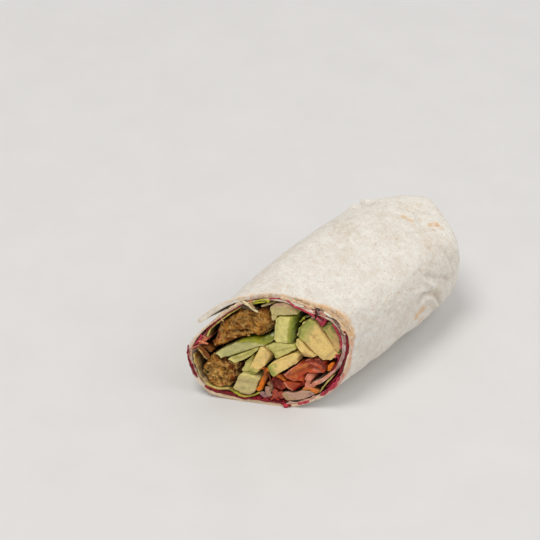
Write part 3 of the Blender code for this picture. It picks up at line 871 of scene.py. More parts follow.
def outside_relief(spots):
    """How far the sheet's outside stands out at places in the roll's millimetres."""
    height = 0.55 * ripple(spots, 17.0, 3) + 0.30 * ripple(spots, 6.5, 4) + 0.15 * ripple(spots, 2.9, 5)
    for path, width, tall in CREASES:
        near = np.flatnonzero(np.square(spots - path.mean(axis=0)).sum(axis=1) < CREASE_REACH ** 2)
        gap = distance_to_line(spots[near], path) + 0.15 * ripple(spots[near], 1.8, 8)
        height[near] += tall * np.exp(-(gap / width) ** 2)
    for place, radius, tall in BLISTERS:
        gap = np.linalg.norm(spots - place, axis=1) + 0.5 * ripple(spots, 3.0, 6)
        height += tall * (1.0 - ease(gap / radius, 0.5, 0.6))
    return height


def crease_shade(spots):
    """How light or dark the creases make the outside: grooves collect shade."""
    shade = np.zeros(len(spots))
    for path, width, tall in CREASES:
        near = np.flatnonzero(np.square(spots - path.mean(axis=0)).sum(axis=1) < CREASE_REACH ** 2)
        gap = distance_to_line(spots[near], path)
        shade[near] += np.clip(tall, -1.0, 0.4) * np.exp(-(gap / (0.9 * width)) ** 2)
    return 1.0 + 0.24 * np.clip(shade, -1.0, 0.3)


def round_end(end, way, side, half, angles):
    """Points round the sheet's edge, from its outside (0) over the edge to its inside (180 degrees)."""
    return np.array([end + way * half * math.sin(a) + side * half * math.cos(a) for a in np.radians(angles)])


def sheet_ring(share, fill=1.0):
    """One closed ring round the sheet's section: out along its outside and back along its inside."""
    line = sheet_line(share)
    side = sides_of(line, closed=False)
    along = along_sheet()
    half = half_thickness(along, share)
    outside = 1.0 - ease(along, 0.52, 0.06)
    skin = line + side * 0.5 * SHEET_THICKNESS
    relief = outside_relief(from_roll(skin[:, 0], skin[:, 1], share)) * outside * ease(share / 0.02 + 0.25)
    crumple = 0.10 * ripple(np.c_[line, np.full(len(line), 40.0 * share)], 2.2, 9)
    outer = line + side * ((half + relief + crumple) * fill)[:, None]
    inner = line - side * ((half + 0.6 * crumple) * fill)[:, None]
    first = (line[0] - line[1]) / np.linalg.norm(line[0] - line[1])
    last = (line[-1] - line[-2]) / np.linalg.norm(line[-1] - line[-2])
    ring = np.vstack((round_end(line[0], first, side[0], half[0] * fill, (90, 60, 30)),
                      outer,
                      round_end(line[-1], last, side[-1], half[-1] * fill, (30, 60, 90, 120, 150)),
                      inner[::-1],
                      round_end(line[0], first, side[0], half[0] * fill, (150, 120))))
    ring[:, 1] = np.maximum(ring[:, 1], 0.0)
    return ring


def rim_relief(ring, fill):
    """The cut edge of the dough is a little rounded, torn and full of small pores."""
    at = at_cut(ring)
    pores = 0.30 * ease(ripple(at, 0.8, 12), 0.25, 0.4) * (1.0 - fill ** 4)
    return 0.22 * fill ** 6 + 0.26 * ripple(at, 2.4, 10) + 0.12 * ripple(at, 0.9, 11) + pores


def make_wall():
    """The rolled sheet, cut open in front, whose far end lies inside the folded end."""
    rows = []
    for fill in (*RIM_FILL, 1.0):
        ring = sheet_ring(0.0, fill)
        rim_back = rim_relief(ring, fill)
        rows.append((carry(ring[:, 0], ring[:, 1], 0.0, rim_back), ring, rim_back, fill))
    for share in WALL_SHARES[1:]:
        ring = sheet_ring(share)
        back = rim_back * (1.0 - ease(share, over=RIM_SETTLED_AT))
        rows.append((carry(ring[:, 0], ring[:, 1], share, back), ring, share * END_REACH, NO_RIM))
    count = len(rows[0][1])
    faces = ring_faces(len(rows), count)
    half = count // 2
    faces.append((0, 1, count - 1))
    faces.append((half - 1, half, half + 1))
    for i in range(1, half - 1):
        faces.append((i, i + 1, count - i - 1, count - i))
    last = (len(rows) - 1) * count
    faces.append(tuple(range(last, last + count)))
    place_in_ring = np.tile(np.arange(count), len(rows))
    return Body(rows, faces), place_in_ring < half + 1


def fold_ring(share):
    """The folded end's outline, level with the wall's outside and then just over it."""
    turn = closed_turn()
    over = 0.5 * SHEET_THICKNESS - FOLD_TUCK + FOLD_STEP * ease(share, 0.815, 0.05)
    skin = turn + sides_of(turn) * 0.5 * SHEET_THICKNESS
    relief = outside_relief(from_roll(skin[:, 0], skin[:, 1], share))
    ring = turn + sides_of(turn) * (over + relief)[:, None]
    ring[:, 1] = np.maximum(ring[:, 1], 0.0)
    return ring


def make_folded_end():
    """The far end, folded shut over the filling."""
    turn = np.sin(0.5 * math.pi * np.linspace(0.0, 1.0, FOLD_RINGS))
    rows = []
    for share in FOLD_FROM + (1.0 - FOLD_FROM) * turn:
        ring = fold_ring(share)
        rows.append((carry(ring[:, 0], ring[:, 1], share), ring, share * END_REACH, NO_RIM))
    count = len(ring)
    faces = ring_faces(FOLD_RINGS, count)
    faces.append(tuple(range(count))[::-1])
    last = (FOLD_RINGS - 1) * count
    for i in range(count):
        faces.append((last + i, FOLD_RINGS * count, last + (i + 1) % count))
    middle = rows[-1][0].mean(axis=0)
    rows.append((middle[None, :], ring.mean(axis=0)[None, :], END_REACH, NO_RIM))
    return Body(rows, faces)


# Browned and stained places on the outside, and darker beige patches that are partly the dough's mottling
# and
# partly painted shade of its shallow dips: radius, colour, strength, place in the roll's millimetres.
OUTSIDE_SPOTS = (
    (1.5, "dough_toast", 0.75, 6.5, 80.1, 46.9),
    (1.8, "dough_toast", 0.85, 9.7, 80.5, 46.3),
    (0.8, "dough_toast", 0.45, 9.2, 77.6, 46.9),
    (0.9, "dough_toast", 0.55, 11.6, 84.7, 45.2),
    (1.8, "dough_toast", 0.75, 16.2, 85.6, 44),
    (2.2, "dough_toast", 0.95, 17.7, 87.6, 43.5),
    (0.9, "dough_brown", 0.45, 18.3, 88.8, 43.1),
    (0.6, "dough_brown", 0.75, 19, 84.2, 43.7),
    (1.4, "dough_toast", 0.35, 20.4, 88, 42.4),
    (0.55, "dough_brown", 0.55, 1.2, 77.4, 47.8),
    (1.2, "dough_toast", 0.4, 24.7, 73.2, 43.7),
    (2.9, "dough_toast", 0.75, 31.7, 60.1, 23.2),
    (2.8, "dough_toast", 0.72, 31.4, 57, 21.6),
    (2.3, "dough_toast", 0.62, 30.6, 60.3, 16.6),
    (1.4, "dough_toast", 0.35, 31.7, 63, 26),
    (0.9, "dough_toast", 0.5, 28, 39, 40.3),
    (1.6, "dough_pink", 0.16, 26.7, 31.7, 40.7),
    (0.45, "dough_brown", 0.6, 28.6, 54.2, 41.1),
    (7, "onion_cream", 0.15, 6, 88, 45.8),
    # the next two patches are painted shade of shallow dips in the dough
    (6, "dough_beige", 0.4, -0.6, 73.2, 48.5),
    (8, "dough_beige", 0.4, -4.2, 53.9, 50.7),
    (7, "dough_beige", 0.3, 6, 40, 50.6),
    (7, "dough_beige", 0.35, 28.4, 66, 40),
    (6, "dough_beige", 0.2, 22, 52, 46.4),
    (5, "dough_beige", 0.3, 10, 16, 49),
    (5, "dough_beige", 0.35, 30.6, 79, 30),
    (9, "dough_beige", 0.3, 31, 48, 24),
    (9, "dough_beige", 0.3, 31, 70, 24),
    (8, "dough_beige", 0.22, 30, 28, 20),
    (6, "dough_beige", 0.3, 30, 84, 38),
)
# Stains of the cut edge: half width, colour, strength, path (u, v, u, v and so on).
RIM_TOUCHES = (
    (1.8, "fold_cream", 0.95, -27.2, 33.2, -24.6, 35.8, -22, 38.6, -18.6, 41.8, -15, 44.4),
    (0.7, "dough_white", 0.8, -27, 34.4, -23.4, 38.2, -19, 42.2, -13.4, 45.9),
    (0.9, "dough", 0.6, -12, 46.8, -6, 49, 0, 49.9, 6, 49.4),
    (0.8, "dough_white", 0.95, 4, 47.4, 6.2, 46.9, 8, 46.5),
    (1.2, "dough_pink", 0.65, 8.6, 46.6, 11, 45.6, 13, 44.8),
    (0.9, "dough_pink", 0.95, 14.6, 44.8, 15.6, 43.8, 16.6, 43),
    (0.7, "dough_white", 0.95, 17, 43.8, 18.2, 43.4),
    (1.3, "rim_mauve", 0.95, 18.6, 42.8, 20.2, 41.2, 22.4, 38.4, 24.3, 35, 25.3, 31, 25.3, 27, 24.7, 22.4,
     23.6, 19.6),
    (0.5, "rim_brown", 0.6, 20.6, 40.4, 22, 38.6, 24.4, 34.6),
    (1.3, "tomato_pale_and_glint", 0.9, 24, 20.4, 21.9, 16.6, 19.8, 13.6, 17.6, 11.8),
    (0.9, "beet_bright", 0.75, 26.9, 18, 26, 14.2, 24.4, 11.2, 22.4, 9, 20.6, 7.6),
    (1.5, "rim_tan", 0.6, -22, 4.4, -16, 1.8, -9, 0.8, -2, 0.6, 5, 0.6, 12, 1.4, 17.4, 3.4),
    (0.9, "dough", 0.55, -27.4, 13, -25, 8.2, -21.6, 4.4),
    (0.5, "beet_bright", 0.7, -27.4, 21.8, -26.5, 25.2, -24.8, 29),
    (0.5, "dough_white", 0.85, -28.8, 22.2, -27.8, 25.8, -26, 30, -23.6, 33.6),
    (1.1, "beet", 0.9, -28.7, 21, -28.1, 17, -26.9, 13.4, -25.3, 10.2),
    (0.4, "beet_bright", 0.8, -28.6, 19.6, -28, 16.8, -27, 14.2),
    (0.6, "rim_tan", 0.6, -26, 26, -24, 30.6, -20.4, 35.4, -15.6, 40.6, -11, 44.6),
    (0.5, "rim_brown", 0.6, -11, 45.4, -7, 47.2, -2, 48.4, 3, 48.6),
)
# Bands of the outside next to the cut: half width, depth in from the cut, colour, strength, path.
RIM_BANDS = (
    (1.1, 0.9, "dough_toast", 0.65, -14, 45.6, -6, 49, 1, 49.8, 8, 48.8, 14, 47.2, 18, 45.9),
    (1.6, 1.9, "dough_toast", 0.95, 15, 46.9, 19, 45.6, 22.4, 43.6, 24.8, 40.6, 26.4, 37, 27, 34),
    (1.4, 3.6, "dough_toast", 0.7, 20, 45.6, 23.4, 43.6, 25, 41.4),
    (2.4, 2.4, "dough_pink", 0.6, 28.4, 34, 29, 27, 28.6, 19, 27, 14),
    (2, 1.6, "beet_bright", 0.35, 27.6, 15, 25.4, 11, 22.6, 8),
    (1.6, 1.4, "beet_bright", 0.3, -28.6, 22, -28.4, 18),
    (1.6, 1.6, "dough_damp", 0.55, -22, 2.6, -14, 0.6, -2, 0),
)


def paint_wall(body, outside):
    """The wall's colours: pale at the cut edge, stained by the filling inside and toasted outside."""
    tint = base_tint(body, "dough", 0.15)
    spots = in_roll(body.places)
    inner = np.where(outside, 0.0, 1.0)
    behind = np.where(body.edge == NO_RIM, 1.0, 0.0)
    tint = mixed(tint, "dough_damp", 0.75 * inner * behind)
    tint = mixed(tint, "beet", 0.55 * inner * behind * ease(ripple(spots, 5.0, 30), -0.45, 0.8))
    cut_edge = (1.0 - ease(body.depth, 0.1, 1.3)) * (1.0 - inner * behind)
    tint = mixed(tint, "rim_tan", 0.85 * cut_edge * (0.9 + 0.35 * ripple(spots, 1.8, 33)))
    for k, (radius, colour, strength, *path) in enumerate(RIM_TOUCHES):
        reach = 1.0 - ease(body.depth, 0.4, 2.6)
        weight = strength * reach * brushed(body.section, path, radius, 0.45, seed=40 + k)
        tint = mixed(tint, colour, weight)
    fray = 1.1 * ripple(spots, 3.2, 31) + 0.7 * ripple(spots, 1.2, 32)
    for k, (radius, deep, colour, strength, *path) in enumerate(RIM_BANDS):
        reach = 1.0 - ease(body.depth + fray, 0.35 * deep, 0.85 * deep)
        weight = strength * reach * brushed(body.section, path, radius, 0.5, seed=80 + k)
        patchy = 0.70 + 0.45 * ripple(spots, 1.7, 90 + k)
        tint = mixed(tint, colour, weight * patchy * np.where(outside, 1.0, 0.35))
    return paint_outside(tint, spots)


def paint_outside(tint, spots):
    """Browned spots and stains of the sheet's outside, its beige patches, and the painted shade of its
    creases.
    """
    for k, (radius, colour, strength, *place) in enumerate(OUTSIDE_SPOTS):
        gap = np.linalg.norm(spots - laid_on(place, SKIN)[0], axis=1)
        gap = gap + 0.45 * radius * ripple(spots, 1.4, 60 + k)
        tint = mixed(tint, colour, strength * (1.0 - ease(gap / radius, 0.35, 0.75)))
    return shaded(tint, crease_shade(spots))


# ---------------------------------------------------------------- fillings: what each one looks like

# Base colour, wetness, and fibres at the cut: angle, size and strength.
LOOKS = {
    "falafel_upper": ("crumb", 0.25, 35.0, 1.2, 0.05),
    "falafel_lower": ("crumb", 0.25, 100.0, 1.2, 0.05),
    "cucumber_left": ("cucumber", 0.7, 34.0, 0.9, 0.18),
    "cucumber_left_lower": ("cucumber_soft", 0.7, 34.0, 0.9, 0.18),
    "cucumber_upright": ("cucumber_pale", 0.7, 90.0, 1.1, 0.12),
    "cucumber_top": ("cucumber_tan", 0.7, 10.0, 1.2, 0.12),
    "cucumber_middle": ("cucumber_soft", 0.7, 24.0, 0.9, 0.16),
    "cucumber_lower": ("cucumber_tan", 0.7, 4.0, 1.1, 0.13),
    "cucumber_sliver": ("cucumber_soft", 0.7, 70.0, 0.8, 0.12),
    "avocado_large": ("avocado", 0.5, -50.0, 1.6, 0.06),
    "avocado_right": ("avocado_tan", 0.5, -60.0, 1.2, 0.12),
    "avocado_lower": ("avocado", 0.5, -50.0, 1.2, 0.06),
    "avocado_middle_left": ("avocado", 0.5, 70.0, 1.6, 0.05),
    "avocado_middle_right": ("avocado", 0.5, 35.0, 1.6, 0.05),
    "tomato_large": ("tomato", 0.85, 30.0, 1.0, 0.20),
    "tomato_fold": ("tomato_pale_and_glint", 0.75, 80.0, 0.7, 0.10),
    "tomato_wedge": ("tomato", 0.85, -60.0, 1.0, 0.18),
    "tomato_lower": ("tomato_wet", 0.9, 75.0, 0.8, 0.28),
    "onion_block": ("onion", 0.7, 12.0, 1.0, 0.08),
    # the whole strand takes the shadow colour: painted shade of the dark gap it lies in
    "onion_strand": ("shadow_olive", 0.5, -45.0, 0.6, 0.40),
    "carrot_long": ("carrot", 0.6, 65.0, 0.6, 0.16),
    "carrot_right": ("carrot", 0.7, 60.0, 0.6, 0.12),
    "carrot_strand": ("carrot_pale", 0.6, -15.0, 0.6, 0.14),
    "carrot_thread": ("carrot_deep", 0.6, -35.0, 0.6, 0.16),
    "lettuce_left": ("leaf_straw", 0.5, 60.0, 0.8, 0.18),
    "lettuce_bottom": ("leaf_tan", 0.5, 10.0, 0.8, 0.16),
    "lettuce_right": ("leaf_pale", 0.5, 60.0, 0.8, 0.14),
    "lettuce_curl": ("leaf_brown", 0.6, -40.0, 0.7, 0.20),
    "lettuce_fold": ("leaf", 0.6, 15.0, 0.7, 0.20),
    "lettuce_rib": ("leaf_olive", 0.6, 30.0, 0.7, 0.18),
    "lettuce_sprig": ("leaf_deep", 0.6, 60.0, 0.7, 0.20),
    "beet_spread_left": ("shred", 0.7, 30.0, 0.9, 0.25),
    "beet_spread_right": ("beet_wedge", 0.8, 60.0, 0.8, 0.40),
    "beet_spread_top": ("beet_bright", 0.8, -30.0, 0.8, 0.35),
    "beet_spread_bottom_left": ("beet", 0.8, -5.0, 0.8, 0.35),
    "beet_spread_bottom_right": ("beet", 0.8, 5.0, 0.8, 0.35),
}
# Brush strokes at the cut, among them painted shade and painted highlights where the notes say so: radius,
# colour, strength, path (u, v, u, v and so on).
TOUCHES = {
    "falafel_upper": (
        (2.8, "crumb_light", 0.16, -13, 36.4, -6, 36.6),
        (1.1, "crust", 0.8, -18.6, 34.4, -15.6, 38.4, -13.4, 41, -9.5, 41.4, -3, 42),
        (0.8, "carrot", 0.6, -18.9, 34.6, -17.8, 33.6),
        (0.7, "carrot", 0.45, -14.4, 40.6, -12.8, 41.2),
        (0.8, "crust_dark_and_shade", 0.8, -3.4, 41.6, -4.6, 42.4),
        (1.3, "crust_dark_and_shade", 0.62, -2.4, 41, -1.2, 37, -1.2, 34, -2.8, 31.4, -4.4, 29.8),
        (1.2, "leaf_olive", 0.35, -2, 36, -2.6, 33),
        (1.1, "beet_bright", 0.55, -19.8, 31.6, -19.6, 29.4, -18.8, 27),
        (0.8, "beet_bright", 0.6, -20.4, 33, -18.4, 34.2),
        (1.2, "crust", 0.85, -20.6, 27, -20.2, 24.2, -18.6, 22.4),
        (1, "crust_dark_and_shade", 0.8, -18.2, 22.6, -15.6, 24.4, -12.6, 27, -9.5, 28.6),
        (0.9, "crust", 0.6, -16.6, 26.6, -13, 28.6, -9.6, 29.6),
        # dark crumb in the dent along this path, deepened as painted shade
        (0.8, "crumb_dark_and_shade", 0.8, -13.8, 31.2, -11.2, 31.4, -8.6, 32),
        (0.8, "crumb_light", 0.5, -15.6, 29.6, -13.4, 30),
        (0.7, "crumb_light", 0.55, -9, 31.4, -7.2, 30.6),
        (0.7, "crumb_light", 0.55, -12.6, 36.4, -10.6, 37),
        (0.8, "crumb_light", 0.4, -15.6, 33.6, -14.2, 34.6),
        (0.6, "crumb_dark_and_shade", 0.45, -8.4, 36.6, -6.8, 34.6),
        (0.9, "crumb_light", 0.35, -17.8, 27.2, -17, 26.2),
    ),
    "falafel_lower": (
        (3.2, "crumb_light", 0.55, -20, 12.4, -17.4, 11),
        # painted shadow in the dent down the falafel's right side, over its dark crust
        (2, "crust_dark_and_shade", 0.85, -13.2, 17.2, -11.2, 14.6, -10.4, 11, -10.8, 8),
        (1.1, "crust", 0.8, -14.4, 16.4, -12.4, 14, -11.6, 10.4),
        (1, "crust_dark_and_shade", 0.8, -17.2, 18.2, -14.6, 17.4),
        (0.7, "carrot", 0.35, -15.8, 16.4, -14.4, 15.8),
        (0.7, "crust", 0.6, -23, 14.8, -23, 12, -21.6, 8.6, -19.4, 6, -15, 4.8, -12, 6.2),
        (0.6, "herb", 0.95, -21.3, 11.8, -20.6, 11.1),
        (0.35, "herb", 0.8, -20.9, 12.6, -21, 12.2),
        # dark crumb in the pits that HOLLOWS digs, deepened as painted shade
        (0.6, "crumb_dark_and_shade", 0.95, -11, 12.4, -10.6, 11),
        (0.55, "crumb_dark_and_shade", 0.65, -17.4, 10.4, -16.6, 9.6, -16, 8.6),
        (0.5, "crumb_dark_and_shade", 0.6, -15.4, 14.4, -14.8, 13),
        (0.45, "crumb_dark_and_shade", 0.55, -18.6, 13.8, -19.6, 13.2, -20.4, 14.2),
        (0.35, "crumb_dark_and_shade", 0.5, -18.2, 8.8, -17.6, 8.2),
        (0.45, "beet_bright", 0.75, -15.1, 6.6, -14.7, 6),
        (0.9, "crumb_light", 0.45, -21.6, 15.8, -19, 15, -17, 12.6),
        (0.8, "crumb_light", 0.4, -20, 10, -18.6, 10.6),
        (1, "crust", 0.45, -18.9, 19.4, -18, 17.6),
    ),
    "cucumber_left": (
        (1.2, "cucumber_lime", 0.95, -11.6, 27.4, -8, 28.2, -4.4, 28.4),
        (0.9, "cucumber_skin", 0.95, -12.2, 28.2, -8, 29.2, -4.6, 29.6),
        # the top strip darkens into painted shade under the falafel
        (0.9, "shaded_cucumber_skin", 0.9, -12.6, 29.2, -8, 30.4, -4.6, 30.8),
        (1.3, "cucumber_lime", 0.95, -4.2, 28.2, -1.6, 28.2, -0.4, 29),
        (1, "cucumber_skin", 0.85, -3.4, 30, -1.2, 31.6, 0, 32.6),
        (1, "cucumber_skin", 0.9, -2.8, 29.4, -0.2, 30.6),
        # painted shade where the skin runs in under the falafel
        (0.9, "shaded_cucumber_skin", 0.85, -2, 31.8, 0.2, 33.2),
        (0.4, "cucumber_green", 0.55, -15, 19.8, -9, 23.4, -4.4, 25.8),
        (0.5, "cucumber_pale", 0.35, -18, 21.4, -12, 25.2),
        (0.5, "cucumber_pale", 0.5, -18.4, 21.4, -16, 19.2),
    ),
    "cucumber_left_lower": (
        (0.5, "cucumber_green", 0.5, -12.4, 19.2, -8.4, 21.2, -5.6, 24.2),
        (0.5, "cucumber_pale", 0.6, -13.4, 18.6, -11.2, 17.4),
        (0.8, "cucumber_lime", 0.35, -7, 22, -5.4, 23),
    ),
    "cucumber_upright": (
        (0.8, "cucumber_lime", 0.9, 5.3, 41, 5.5, 36, 6, 29),
        (0.8, "cucumber_skin", 0.95, 6.3, 41, 6.6, 36, 7, 29),
        # the skin side that turns away from the cut, and the dark herb-green edge beyond it, are dark skin
        # in painted shade
        (1, "shaded_cucumber_skin", 0.97, 7.4, 41.4, 7.8, 35, 8.2, 29),
        (0.8, "herb", 0.8, 8.3, 41.4, 8.6, 35, 8.8, 29),
        (0.6, "cucumber_green", 0.25, 0.8, 39.6, 1.2, 34, 1.2, 29.8),
        (0.5, "cucumber_green", 0.45, 0.6, 40.2, 4.8, 40.6),
    ),
    "cucumber_top": (
        (1.7, "onion", 0.85, -2.6, 45.4, 1.4, 46.2, 5.2, 45.4),
        (1.2, "onion_tan", 0.7, 4, 44.6, 6.8, 43.4),
        (0.7, "cucumber_lime", 0.9, 7, 42.8, 8, 41.8),
        (0.5, "cucumber_pale", 0.5, -2, 39.4, -1.6, 42.6),
        (0.7, "cucumber_soft", 0.5, 0, 40.4, 5, 41.2),
    ),
    "cucumber_middle": (
        (0.7, "cucumber_lime", 0.8, 8.2, 28.6, 9.2, 26.8),
        (0.5, "cucumber_lime", 0.55, 3, 22, 1.6, 23.6, -1, 26),
        (0.45, "cucumber_green", 0.55, 2, 24.6, 8.6, 27.6),
        (0.9, "cucumber_pale", 0.5, 0, 27, 4.6, 28),
        (0.7, "cucumber_soft", 0.5, -2, 26.2, 0.4, 27.6),
    ),
    "cucumber_lower": (
        (0.35, "onion_tan", 0.65, -9.8, 9.6, -6, 9.3, -2.2, 9.5),
        (0.9, "onion_tan", 0.5, -9, 4.6, -5.4, 4, -2.6, 5.4),
        (0.45, "cucumber_pale", 0.6, -9, 12.4, -5.6, 12.6, -2.2, 11.4),
        (0.5, "cucumber_soft", 0.45, -9.6, 11.4, -6, 11.2, -2.2, 10.6),
    ),
    "cucumber_sliver": (
        (0.7, "cucumber_lime", 0.6, -8.8, 17.4, -6.4, 20.4),
        (0.6, "cucumber_pale", 0.4, -8.2, 14.6, -7.4, 16.6),
    ),
    "avocado_large": (
        (2.7, "avocado_soft", 0.9, 11, 31.2, 11.6, 35, 12.8, 39),
        (1.7, "avocado_green", 0.75, 9.6, 31.4, 10, 36, 12.2, 39.6),
        (0.6, "avocado_deep", 0.75, 8.9, 30.8, 9.2, 36.4, 11, 39.8),
        (1, "avocado_deep", 0.3, 10.2, 36.8, 11.4, 38.6),
        (0.8, "avocado_tan", 0.75, 13, 34.2, 14.2, 33, 15, 34.2),
        (0.5, "avocado_tan", 0.6, 14.2, 33, 15.8, 32),
        (0.9, "avocado_tan", 0.65, 19.6, 24.4, 22, 27.4, 22.4, 29.6),
        (0.7, "avocado_tan", 0.65, 15.6, 37.4, 18.6, 33.6, 21.6, 29.8),
        (0.7, "avocado_tan", 0.45, 16, 25.6, 19.8, 24.2),
        (0.45, "onion_tan", 0.65, 10.9, 29.8, 14, 27, 15.6, 25.6),
    ),
    "avocado_right": (
        (1.5, "avocado_deep", 0.85, 17.4, 37.4, 18.4, 39.6, 20, 38.6, 20.8, 36.4),
        (0.9, "avocado_green", 0.55, 17.2, 36.6, 19.4, 35, 20.8, 33.4),
        (1, "tomato_pale_and_glint", 0.45, 23.8, 33, 24.2, 29.6),
        (0.6, "onion_tan", 0.4, 20.8, 36, 23.4, 31),
    ),
    "avocado_lower": (
        (0.9, "tomato_wet", 0.45, 11.4, 24.6, 14.4, 23.8),
        (0.7, "avocado_green", 0.5, 9, 30.6, 9.6, 28.6),
        (0.7, "avocado_tan", 0.6, 12, 26.6, 13, 25.2),
    ),
    "avocado_middle_left": (
        (1.5, "avocado_green", 0.98, -6.2, 14.4, -4.4, 13.4, -2.4, 13.2),
        (1, "avocado_green", 0.55, -5, 15.6, -2.8, 15.2),
        (0.5, "cucumber_lime", 0.35, -5.8, 17.4, -4.6, 21.4, -3.6, 25),
        (0.7, "avocado_tan", 0.55, -1, 24.2, -0.4, 19.6),
        (0.45, "avocado_green", 0.5, -3.2, 21.4, -2.6, 21),
        (0.9, "avocado_tan", 0.5, -1.6, 17.6, -0.6, 16.4),
    ),
    "avocado_middle_right": (
        (1.5, "avocado_green", 0.98, 0.6, 17.6, 1.4, 15.6, 2.9, 13.8),
        (0.5, "avocado_deep", 0.6, 0.4, 17.2, 1.4, 14.8),
        (0.8, "avocado_green", 0.8, 2.4, 18.9, 3, 17.9),
        (0.6, "avocado_green", 0.45, 2.6, 16.6, 3.6, 15.4),
        (0.8, "avocado_tan", 0.7, 9, 20.2, 10, 22.4),
        (0.6, "carrot_deep", 0.5, 7.8, 18.6, 8.2, 18.2),
        (0.5, "cucumber_lime", 0.25, 3.8, 20.8, 8.6, 23.8),
    ),
    "tomato_large": (
        (1.5, "tomato_wet", 0.9, 12, 21.6, 15, 22.8, 18.6, 22.4, 20.2, 20),
        (1, "tomato_wet", 0.55, 14, 20.4, 17.6, 19.6, 19, 18),
        # the pale top edge is partly the tomato's film and partly a painted highlight
        (0.5, "tomato_pale_and_glint", 0.6, 13.4, 23.4, 16, 24, 18.4, 23.6),
        # painted sheen on the gel
        (0.5, "tomato_pale_and_glint", 0.55, 15.2, 21.2, 17.2, 20.8),
        (1.1, "carrot_pale", 0.6, 8.6, 16, 11, 18.6, 13.6, 20.4),
        (0.9, "carrot_pale", 0.35, 8.8, 14, 11, 14.6),
        (0.8, "tomato_pale_and_glint", 0.6, 16.6, 18.8, 18.4, 18.2, 19.8, 17),
        # thin painted glints on the wet top
        (0.25, "tomato_pale_and_glint", 0.6, 13, 22, 15.4, 23, 17.4, 22.6),
        (0.22, "tomato_pale_and_glint", 0.45, 16.8, 21.6, 18.8, 20.8, 19.6, 19.4),
        (0.7, "tomato_pale_and_glint", 0.85, 6.6, 14, 8.2, 17.2, 10.4, 20.2),
        (0.6, "tomato_pale_and_glint", 0.55, 7.2, 13.2, 10, 12.4, 12.6, 12),
        (0.9, "carrot_deep", 0.35, 10.4, 16.2, 12.8, 18.8, 15, 18.8),
        (0.8, "tomato_deep", 0.55, 12, 14.4, 14.6, 16.2, 17.8, 16.8),
        (0.5, "tomato_deep", 0.7, 10.4, 21.4, 9.6, 19.6),
        (0.6, "tomato_deep", 0.8, 20.2, 17.6, 20.8, 15.8),
    ),
    "tomato_fold": (
        (1, "tomato_pale_and_glint", 0.9, 14.5, 15.2, 15.2, 11.2),
        (0.5, "onion_cream", 0.7, 13.6, 13.8, 14.4, 13.4),
    ),
    "tomato_wedge": (
        (1.1, "tomato_deep", 0.95, 13.4, 11, 11.8, 9, 10.4, 6.8),
        (0.6, "tomato_deep", 0.9, 12.8, 12.8, 13.4, 11.8),
        (0.8, "tomato_pale_and_glint", 0.75, 6.8, 10.6, 8.6, 8.8, 9.8, 7.4),
    ),
    "tomato_lower": (
        (1.5, "tomato_deep", 0.8, 2.4, 12.2, 5.4, 11.8),
        (0.8, "tomato_dark", 0.7, 3, 13, 5, 12.8),
        (0.9, "onion_tan", 0.7, 1.2, 9.6, 1.6, 7.4, 2.4, 4.6),
        (0.3, "onion_cream", 0.3, 2.2, 8.8, 2.8, 6.2),
        (0.35, "shred", 0.45, 3.6, 9.6, 4.6, 8.4, 5, 7),
        (0.4, "tomato_pale_and_glint", 0.6, 5, 8.4, 6.2, 6.6),
        (1.3, "tomato_wet", 0.7, 3.4, 10, 5.6, 6.6),
        (0.8, "tomato", 0.5, 6.4, 9.8, 7.4, 7),
    ),
    "onion_block": (
        (1.1, "onion_tan", 0.7, 8, 5.8, 9.6, 3.8, 12, 3.6),
        (0.9, "onion_mauve", 0.6, 16.8, 7.6, 18.2, 6.2),
        (0.5, "onion_cream", 0.55, 9.4, 7.4, 13.4, 8.8, 16.4, 8.6),
        (0.6, "onion_mauve", 0.6, 12, 3.2, 15.8, 4.4),
    ),
    "onion_strand": (
        (0.4, "onion_tan", 0.8, -12.4, 45.2, -9.8, 43.4, -7.4, 41.6),
    ),
    "carrot_long": (
        (1.3, "carrot_deep", 0.95, -1.2, 16, 0, 13.4, 0.6, 9.8),
        # painted shade of the gap down the carrot's right side
        (0.6, "crust_dark_and_shade", 0.85, 0.9, 14, 0.9, 10),
        (0.7, "carrot", 0.95, -2.2, 6, -1.4, 8.6, -0.8, 10.6),
        (0.6, "tomato_pale_and_glint", 0.55, -1.6, 15.6, -1.2, 13.8),
        (0.4, "carrot_pale", 0.45, 0.2, 12.6, -0.2, 11),
    ),
    "carrot_strand": (
        # painted shadow between the strand and the tomato fold above it
        (1.1, "crust_dark_and_shade", 0.95, 14.8, 11.8, 17, 11.4, 19.8, 10.4),
        (0.5, "carrot_pale", 0.7, 14.6, 10, 17, 9.6, 19.2, 8.2),
    ),
    "carrot_thread": (
        (0.5, "carrot", 0.5, 4.4, 13.3, 6.6, 12),
    ),
    "lettuce_left": (
        (0.6, "leaf_lit", 0.85, -22.9, 27.9, -22.3, 31.6, -19.4, 35.7, -16.5, 39.2),
        (0.5, "leaf", 0.5, -18, 37.4, -15, 40.8, -12.8, 43),
        # painted shadow of the gap between the leaf and the falafel
        (0.45, "crumb_dark_and_shade", 0.97, -22.1, 27.3, -21.5, 31, -18.6, 35, -15.7, 38.5, -12.5, 41.9),
    ),
    "lettuce_bottom": (
        (1.6, "leaf_brown", 0.8, -26.6, 20.6, -25, 18),
        (1, "dough_damp", 0.55, -25, 13.4, -22.6, 8.4, -20.6, 6),
        (0.8, "shadow_olive", 0.6, -24, 17, -23.6, 13, -21.8, 9),
        (0.5, "leaf_lit", 0.9, -26.9, 19.6, -26, 16.4, -25, 13.2, -22.8, 8.7, -20.8, 5.6),
        (0.4, "beet", 0.9, -20.8, 5.4, -18.2, 4, -15, 3.8, -12.4, 4.1),
        (0.4, "leaf_lit", 0.9, -20.2, 6.4, -17.8, 5.1, -15, 4.9, -12, 5.2),
